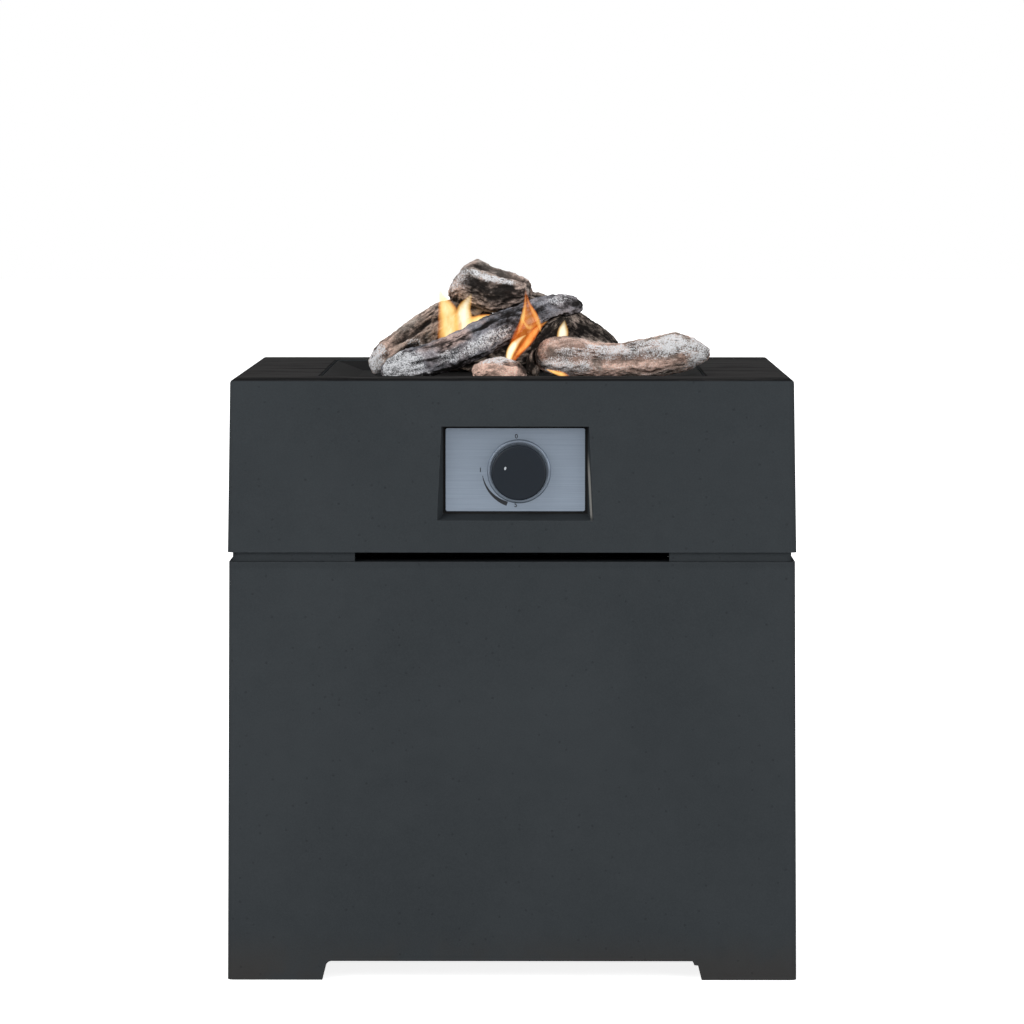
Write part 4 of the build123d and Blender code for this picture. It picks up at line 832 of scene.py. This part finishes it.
def log_tones(straight, share, side, normals, look):
    """How much ash, char and bare rose wood lies on each point of a log."""
    # Painted shade: faces that look down get char, more on sootier logs
    below = np.clip((-normals[:, 2] - 0.25) / 0.45, 0, 1) * min(1.0, look["soot_and_shade"] + 0.1)
    found = {"ash": 0 * below, "rose": 0 * below, "char": below}
    shift = Vector((look["seed"], 0, 0))
    drift = np.array([noise.fractal(Vector(place) * 55 + shift, 0.8, 2.2, 3)
                      for place in straight])
    for kind, where, angle, length, width, strength in look["tones"]:
        turn = half_turn(side - angle)
        spread = np.hypot((share - where) / length, turn / width) + 0.7 * drift
        patch = strength * np.clip((1.5 - spread) / 0.9, 0, 1)
        found[kind] = np.maximum(found[kind], patch)
    char = found["char"] * (1 - 0.5 * found["ash"])
    return np.stack((found["ash"], char, found["rose"], np.ones(len(straight))), 1)


def grooves_of(node, share, side, seed):
    """Depth of the grooves at each point of a log."""
    wander = np.array([noise.noise(Vector((along * 5, seed, 0))) for along in share])
    groove = 0 * share
    for angle, depth, width, start, end in GROOVES.get(node, ()):
        turn = half_turn(side - angle - GROOVE_WANDER * wander)
        bowl = np.clip(1 - (turn / width) ** 2, 0, 1) ** 1.5
        fade_in = np.clip((share - start) / GROOVE_ENDS, 0, 1)
        fade_out = np.clip((end - share) / GROOVE_ENDS, 0, 1)
        groove += depth * MM * bowl * (fade_in * fade_out)
    return groove


def build_log(node, logs):
    """One ceramic log: the CAD log's own form with bark, grooves, paint and ash."""
    look = LOGS[node]
    mesh = even_skin(node, logs.spacing)
    soften(mesh, logs.smoothing)
    places = read(mesh.vertices, "co", 3)
    normals = read(mesh.vertices, "normal", 3)
    straight = straighten(places)
    along, up, front = straight.T
    share = along / along.max()  # how far along the log, from 0 to 1
    side = np.degrees(np.arctan2(front, up))
    lumps, furrows, crust = bark_relief(straight, look["seed"])
    groove = grooves_of(node, share, side, look["seed"])
    cut = logs.furrow * look["furrow"] * np.minimum(furrows - 0.1, 0)
    push = logs.lump * lumps + cut + logs.crust * crust - groove
    places = places + normals * push[:, None]
    places[:, 2] = np.minimum(places[:, 2], cad_box[1].z)
    move(mesh, places)
    relief = np.clip(0.5 + 0.55 * furrows + 0.2 * crust - groove / (6 * MM), 0, 1)
    tones = log_tones(straight, share, side, read(mesh.vertices, "normal", 3), look)
    keep_values(mesh, straight=straight, relief=relief, tone=tones)
    mesh.shade_smooth()
    paint = finish(log_ceramic, logs, look, name=node + "_paint")
    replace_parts(new_piece(node + "_cast", mesh, paint), node)


# --- Flames ---

# Each tongue of flame: depth in the stack, warmth, thickness, how hollow it is, and stations
# of x, height and half width from its root to its tip, in millimetres
TONGUES = {
    "flame_left": (-28.0, 0.66, 1.0, 0.0, (
        (-70, 660, 13.5), (-69.5, 668, 14.5), (-69.8, 677, 14), (-70.5, 686, 13),
        (-72, 694.5, 11.8), (-74, 700.5, 9.8), (-76.6, 707, 7), (-79, 712.5, 4.2),
        (-81, 719, 2), (-81.8, 725, 0.4))),
    "flame_middle": (-25.0, 0.95, 1.0, 0.0, (
        (-54, 668, 9), (-54, 678, 11), (-54.5, 686, 11), (-55, 692, 9.8), (-54.5, 698, 8.2),
        (-52.5, 703, 6.8), (-49.5, 708, 4.4), (-46, 716, 0.4))),
    "flame_wing": (-24.0, 0.62, 1.35, 0.0, (
        (-58, 676, 6), (-48, 682, 7.5), (-40, 685.5, 6.5), (-32, 688.5, 5), (-24, 690.5, 2.5),
        (-18, 692, 0.3))),
    "flame_right": (-96.0, 0.2, 1.0, 0.7, (
        (-3, 636, 1.5), (-2, 645, 4.5), (2, 655, 8), (8, 665, 11), (14, 675, 12.5),
        (18, 685, 11.5), (18.5, 694, 8.5), (16.5, 702, 5.5), (15, 710, 3), (14, 717, 1.6),
        (13.4, 723, 0.3))),
    "flame_hook": (-101.0, 0.95, 1.0, 0.0, (
        (-3, 634, 1), (-4.5, 645, 3.2), (-3, 654, 4.6), (1, 661, 4.8), (6, 667, 3.2),
        (11, 671, 1.4), (15, 673, 0.3))),
    "flame_arm": (-93.0, 0.4, 1.0, 0.0, (
        (3, 650, 1.5), (11, 659, 3.4), (18, 668, 4.4), (24, 676, 4), (30, 682.5, 2.4),
        (38, 688, 0.3))),
    "flame_rim": (-99.0, 0.45, 0.5, 0.0, (
        (4, 672, 1), (7.5, 680, 2.8), (10.5, 690, 3.2), (12.5, 701, 2.4), (13.5, 712, 1.4),
        (13.5, 721, 0.3))),
    "flame_rim_right": (-98.0, 0.45, 0.5, 0.0, (
        (30, 676, 1), (28, 684, 3), (25, 692, 3.2), (21, 700, 2.4), (17, 708, 1.4),
        (14, 716, 0.3))),
    "flame_fold": (-99.0, 0.5, 0.32, 0.0, (
        (9, 694, 0.4), (12.5, 686, 1.8), (17, 681, 3), (23.5, 683.5, 2.4),
        (31, 692, 0.4))),
    "flame_small": (-54.0, 1.1, 1.0, 0.0, (
        (53.5, 660, 5), (54, 669, 6.5), (55, 678, 5.5), (56.5, 688, 0.4))),
    "flame_low": (-120.0, 0.4, 0.8, 0.0, (
        (36, 636.5, 0.4), (43, 634, 1.8), (50, 632, 3), (57, 629.5, 3), (63, 627, 0.8))),
}
FLAME_LEANS = (-0.8, 0.8)  # each tongue is two lenses that cross along its middle
FLAME_ACROSS = 12  # faces across a lens
FLAME_STEPS = 5  # points from one station to the next


def smooth_through(stations):
    """Points of a smooth curve through the stations of a tongue."""
    rows = [np.array(station, float) for station in stations]
    rows = [2 * rows[0] - rows[1], *rows, 2 * rows[-1] - rows[-2]]
    points = []
    for before, start, end, after in zip(rows, rows[1:], rows[2:], rows[3:]):
        for t in np.arange(FLAME_STEPS) / FLAME_STEPS:
            points.append(0.5 * (2 * start + (end - before) * t
                                 + (2 * before - 5 * start + 4 * end - after) * t * t
                                 + (3 * start - before - 3 * end + after) * t ** 3))
    points.append(rows[-2])
    return np.array(points)


def flame_lens(curve, depth, warmth, thickness, hollow, lean, bulge):
    """Points, faces, heat and veil of one closed lens of a tongue."""
    rows, columns = len(curve), FLAME_ACROSS + 1
    middles = np.stack((curve[:, 0], np.full(rows, depth), curve[:, 1]), 1)
    ahead = np.gradient(middles, axis=0)
    ahead /= np.linalg.norm(ahead, axis=1)[:, None]
    wide = np.stack((ahead[:, 2], np.full(rows, lean * bulge), -ahead[:, 0]), 1)
    out = np.cross(ahead, wide)
    out /= np.linalg.norm(out, axis=1)[:, None]
    across = np.linspace(-1, 1, columns)
    half = np.maximum(curve[:, 2], 0.1)[:, None, None]
    swell = 0.5 * bulge * half * (1 - across ** 2)[None, :, None] * out[:, None]
    flat = middles[:, None] + half * across[None, :, None] * wide[:, None]
    rise = np.linspace(0, 1, rows)[:, None]
    body = 1 - np.abs(across)[None] ** 1.8
    root = np.clip(rise / 0.14, 0, 1)
    tip = np.clip((1 - rise) / 0.45, 0, 1)
    heat = warmth * (0.2 + 0.8 * body) * (0.6 + 0.4 * tip)
    veil = thickness * body * (1 - hollow * body ** 2) * root ** 0.7 * tip
    corners = np.arange((rows - 1) * columns).reshape(rows - 1, columns)[:, :-1].ravel()
    quads = np.stack((corners, corners + 1, corners + columns + 1, corners + columns), 1)
    points = np.stack((flat - swell, flat + swell)).reshape(-1, 3)
    faces = np.concatenate((quads, quads[:, ::-1] + rows * columns))
    return points * MM, faces, np.tile(heat.ravel(), 2), np.tile(veil.ravel(), 2)


def build_flame(name, flames):
    """One tongue of flame: no CAD node's stand-in, and of no slot."""
    *values, stations = TONGUES[name]
    curve = smooth_through(stations)
    points, faces, heat, veil = zip(*[flame_lens(curve, *values, lean, flames.bulge)
                                      for lean in FLAME_LEANS])
    faces = np.concatenate([quads + index * len(points[0]) for index, quads in enumerate(faces)])
    mesh = bpy.data.meshes.new(name)
    mesh.from_pydata(np.concatenate(points).tolist(), [], faces.tolist())
    keep_values(mesh, warmth=np.concatenate(heat), veil=np.concatenate(veil))
    mesh.shade_smooth()
    new_piece(name, mesh, finish(burning_gas, flames, name="flame"))


# --- Marks on the control plate ---

MARK_THICKNESS = 0.08 * MM
MARK_SINK = 0.02 * MM  # back of a mark, inside the plate
WEDGE_START, WEDGE_END = 187.0, 250.0  # degrees round the knob, counter-clockwise from +X
WEDGE_THIN = 0.5 * MM  # its thickness at low
WEDGE_STEPS = 40
FIGURE_BOLDNESS = 0.14 * MM
CAPITAL_SHARE = 0.7  # height of a capital in a font of size 1
FIGURE_PLACES = {  # from the knob's axis, to the right and up
    "figure_off": (-2.8 * MM, 36.6 * MM),
    "figure_low": (-40.6 * MM, 1.2 * MM),
    "figure_high": (-3.4 * MM, -35.6 * MM),
}


def knob_axis():
    """Where the knob's axis meets the front of the control plate."""
    stem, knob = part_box("valve_stem"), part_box("control_knob")
    return Vector(((stem[0].x + stem[1].x) / 2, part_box("knob_bezel")[1].y,
                   (knob[0].z + knob[1].z) / 2))


def plate_mark(name, mesh, control):
    new_piece(name, mesh, finish(printed_ink, control))


def wedge_mesh(control):
    """Curved wedge that grows from low to full."""
    centre = knob_axis()
    wedge = bmesh.new()
    rings = []
    for step in range(WEDGE_STEPS + 1):
        share = step / WEDGE_STEPS
        angle = radians(WEDGE_START + (WEDGE_END - WEDGE_START) * share)
        inner = control.wedge_radius - WEDGE_THIN - (control.wedge_thick - WEDGE_THIN) * share
        rings.append([wedge.verts.new(centre + Vector((radius * cos(angle), y,
                                                       radius * sin(angle))))
                      for y in (MARK_SINK, MARK_SINK - MARK_THICKNESS)
                      for radius in (inner, control.wedge_radius)])
    for near, far in zip(rings, rings[1:]):
        for a, b in ((0, 1), (1, 3), (3, 2), (2, 0)):
            wedge.faces.new((near[a], near[b], far[b], far[a]))
    for ring in (rings[0], rings[-1]):
        wedge.faces.new([ring[corner] for corner in (0, 2, 3, 1)])
    bmesh.ops.recalc_face_normals(wedge, faces=wedge.faces)
    mesh = bpy.data.meshes.new("flame_wedge")
    wedge.to_mesh(mesh)
    wedge.free()
    return mesh


def figure_mesh(name, text, height, right, up):
    """Raised figure that faces the front, at a place from the knob's axis."""
    letters = bpy.data.curves.new(name, "FONT")
    letters.body = text
    letters.size = height / CAPITAL_SHARE
    letters.extrude = MARK_THICKNESS / 2
    letters.offset = FIGURE_BOLDNESS
    letters.align_x = letters.align_y = "CENTER"
    letters.resolution_u = 6
    mesh = settle(put(name + "_curve", letters))
    bpy.data.curves.remove(letters)
    centre = knob_axis() + Vector((right, MARK_SINK - MARK_THICKNESS / 2, up))
    for point in mesh.vertices:
        point.co = centre + Vector((point.co.x, -point.co.z, point.co.y))
    mesh.name = name
    return mesh


# --- Stage ---

FLOOR_REACH = 30.0
LAMPS = {  # place, size and share of the key light's power
    "key_lamp": (Vector((-2.4, -3.2, 2.3)), 2.6, 1.0),
    "fill_lamp": (Vector((2.6, -3.0, 1.2)), 2.2, 0.55),
}


def world_light(stage):
    """White room for the camera and for gloss, softer for the light on the object."""
    world = bpy.data.worlds.new("studio")
    world.use_nodes = True
    net = Net(world.node_tree)
    rays = net.add("LightPath").outputs
    seen = net.maths("MAXIMUM", rays["Is Camera Ray"], rays["Is Transmission Ray"])
    bright = net.maths("MAXIMUM", seen, net.times(rays["Is Glossy Ray"], 0.9))
    up = net.split(net.add("TexCoord").outputs["Generated"])["Z"]
    soft = net.times(net.span(up, 0.2, 1.0, 1.0, 0.55), stage.room_light)
    net.feed(world.node_tree.nodes["Background"],
             {"Color": WHITE, "Strength": net.maths("MAXIMUM", bright, soft)})
    bpy.context.scene.world = world


def studio_floor(net, stage):
    """Pale floor that runs out to white and keeps the object's shadow."""
    spot = net.place()
    fine = net.times(net.noise(spot, 3.0, 3.0, 0.5), 0.1)
    away = net.add("VectorMath", {0: spot}, operation="LENGTH").outputs["Value"]
    seen = net.add("LightPath").outputs["Is Camera Ray"]
    return {
        "Base Color": net.mix(fine, stage.floor, WHITE),
        "Roughness": 0.9,
        "Specular IOR Level": 0.1,
        "Emission Color": WHITE,
        "Emission Strength": net.times(seen, net.span(away, 0.3, 1.5, stage.floor_glow, 1.0)),
    }


def lay_floor(stage):
    mesh = bpy.data.meshes.new("studio_floor")
    corners = ((-1, -1), (1, -1), (1, 1), (-1, 1))
    mesh.from_pydata([(x * FLOOR_REACH, y * FLOOR_REACH, 0.0) for x, y in corners], [],
                     [(0, 1, 2, 3)])
    floor = put("studio_floor", mesh)
    skin(floor, finish(studio_floor, stage))


def aim(holder, place, ahead):
    holder.location = place
    holder.rotation_euler = ahead.to_track_quat("-Z", "Y").to_euler()


def area_lamps(stage):
    """Large round lamps that face the middle of the object."""
    for name, (place, size, share) in LAMPS.items():
        lamp = bpy.data.lights.new(name, "AREA")
        lamp.shape = "DISK"
        lamp.size = size
        lamp.energy = stage.key_power * share
        aim(put(name, lamp), place, Vector((0.0, 0.0, cad_box[1].z / 2)) - place)


def studio_camera(stage):
    """Camera at its fitted place, on a 36 mm square frame."""
    camera = bpy.data.cameras.new("studio_camera")
    camera.sensor_width = 36.0
    camera.lens = stage.lens
    camera.clip_end = 100.0
    holder = put("studio_camera", camera)
    level = cos(stage.pitch)
    aim(holder, stage.camera_place,
        Vector((sin(stage.yaw) * level, cos(stage.yaw) * level, -sin(stage.pitch))))
    bpy.context.scene.camera = holder


# --- Operators ---


class FIREPIT_OT_stage(bpy.types.Operator):
    """Set up the floor, the light and the camera"""
    bl_idname = "firepit.stage"
    bl_label = "Studio"

    def execute(self, context):
        stage = context.scene.firepit_stage
        world_light(stage)
        lay_floor(stage)
        area_lamps(stage)
        studio_camera(stage)
        context.scene.view_settings.view_transform = "Standard"
        return {"FINISHED"}


class FIREPIT_OT_cast_blocks(bpy.types.Operator):
    """Finish the cast base block and upper block"""
    bl_idname = "firepit.cast_blocks"
    bl_label = "Cast blocks"

    def execute(self, context):
        dress("cast_concrete", cast_concrete, context.scene.firepit_blocks)
        return {"FINISHED"}


class FIREPIT_OT_steelwork(bpy.types.Operator):
    """Finish the burner tray, the door and the other painted steel"""
    bl_idname = "firepit.steelwork"
    bl_label = "Painted steel"

    def execute(self, context):
        dress("heat_black_steel", heat_black_paint)
        return {"FINISHED"}


class FIREPIT_OT_gas_train(bpy.types.Operator):
    """Finish the valve, pipes, injector, igniter, leads and fasteners"""
    bl_idname = "firepit.gas_train"
    bl_label = "Gas train and fasteners"

    def execute(self, context):
        dress("zinc_steel", zinc_plate)
        dress("brass", machined_brass)
        dress("valve_alloy", die_cast_alloy)
        dress("copper", dull_copper)
        dress("igniter_plastic", igniter_case)
        dress("nylon", nylon)
        dress("lead_rubber", lead_rubber)
        dress("white_ceramic", glazed_ceramic)
        dress("magnet_ferrite", catch_ferrite)
        return {"FINISHED"}


class FIREPIT_OT_control_panel(bpy.types.Operator):
    """Finish the control plate and the knob, and print the marks"""
    bl_idname = "firepit.control_panel"
    bl_label = "Control panel"

    def execute(self, context):
        control = context.scene.firepit_control
        dress("stainless", pilot_steel)
        skin(frame["nodes"]["control_plate"], finish(brushed_plate, control))
        skin(frame["nodes"]["knob_bezel"], finish(bezel_steel, control))
        dress("knob_black", knob_plastic, control)
        dress("pointer_white", pointer_inlay)
        plate_mark("flame_wedge", wedge_mesh(control), control)
        figures = (control.off_figure, control.low_figure, control.high_figure)
        for (name, place), text in zip(FIGURE_PLACES.items(), figures):
            plate_mark(name, figure_mesh(name, text, control.figure_height, *place), control)
        return {"FINISHED"}


class FIREPIT_OT_logs(bpy.types.Operator):
    """Build the ceramic logs over their plain CAD forms"""
    bl_idname = "firepit.logs"
    bl_label = "Ceramic logs"

    def execute(self, context):
        for node in LOGS:
            build_log(node, context.scene.firepit_logs)
        return {"FINISHED"}


class FIREPIT_OT_flames(bpy.types.Operator):
    """Light the burner"""
    bl_idname = "firepit.flames"
    bl_label = "Flames"

    def execute(self, context):
        for name in TONGUES:
            build_flame(name, context.scene.firepit_flames)
        return {"FINISHED"}


OPERATORS = (FIREPIT_OT_stage, FIREPIT_OT_cast_blocks, FIREPIT_OT_steelwork, FIREPIT_OT_gas_train,
             FIREPIT_OT_control_panel, FIREPIT_OT_logs, FIREPIT_OT_flames)


class FIREPIT_PT_panel(bpy.types.Panel):
    """Steps and settings of the fire pit"""
    bl_idname = "FIREPIT_PT_panel"
    bl_label = "Fire pit"
    bl_space_type = "VIEW_3D"
    bl_region_type = "UI"
    bl_category = "Fire pit"

    def draw(self, context):
        for operator in OPERATORS:
            self.layout.operator(operator.bl_idname)
        for name in SETTINGS:
            group = getattr(context.scene, name)
            box = self.layout.box()
            box.label(text=group.bl_rna.description)
            for setting in group.__annotations__:
                box.prop(group, setting)


def register():
    for kind in (*SETTINGS.values(), *OPERATORS, FIREPIT_PT_panel):
        bpy.utils.register_class(kind)
    for name, kind in SETTINGS.items():
        setattr(bpy.types.Scene, name, PointerProperty(type=kind))


def unregister():
    for name in SETTINGS:
        delattr(bpy.types.Scene, name)
    for kind in reversed((*SETTINGS.values(), *OPERATORS, FIREPIT_PT_panel)):
        bpy.utils.unregister_class(kind)


def main():
    register()
    bpy.ops.firepit.stage()
    bpy.ops.firepit.cast_blocks()
    bpy.ops.firepit.steelwork()
    bpy.ops.firepit.gas_train()
    bpy.ops.firepit.control_panel()
    bpy.ops.firepit.logs()
    bpy.ops.firepit.flames()


if __name__ == "__main__":
    main()
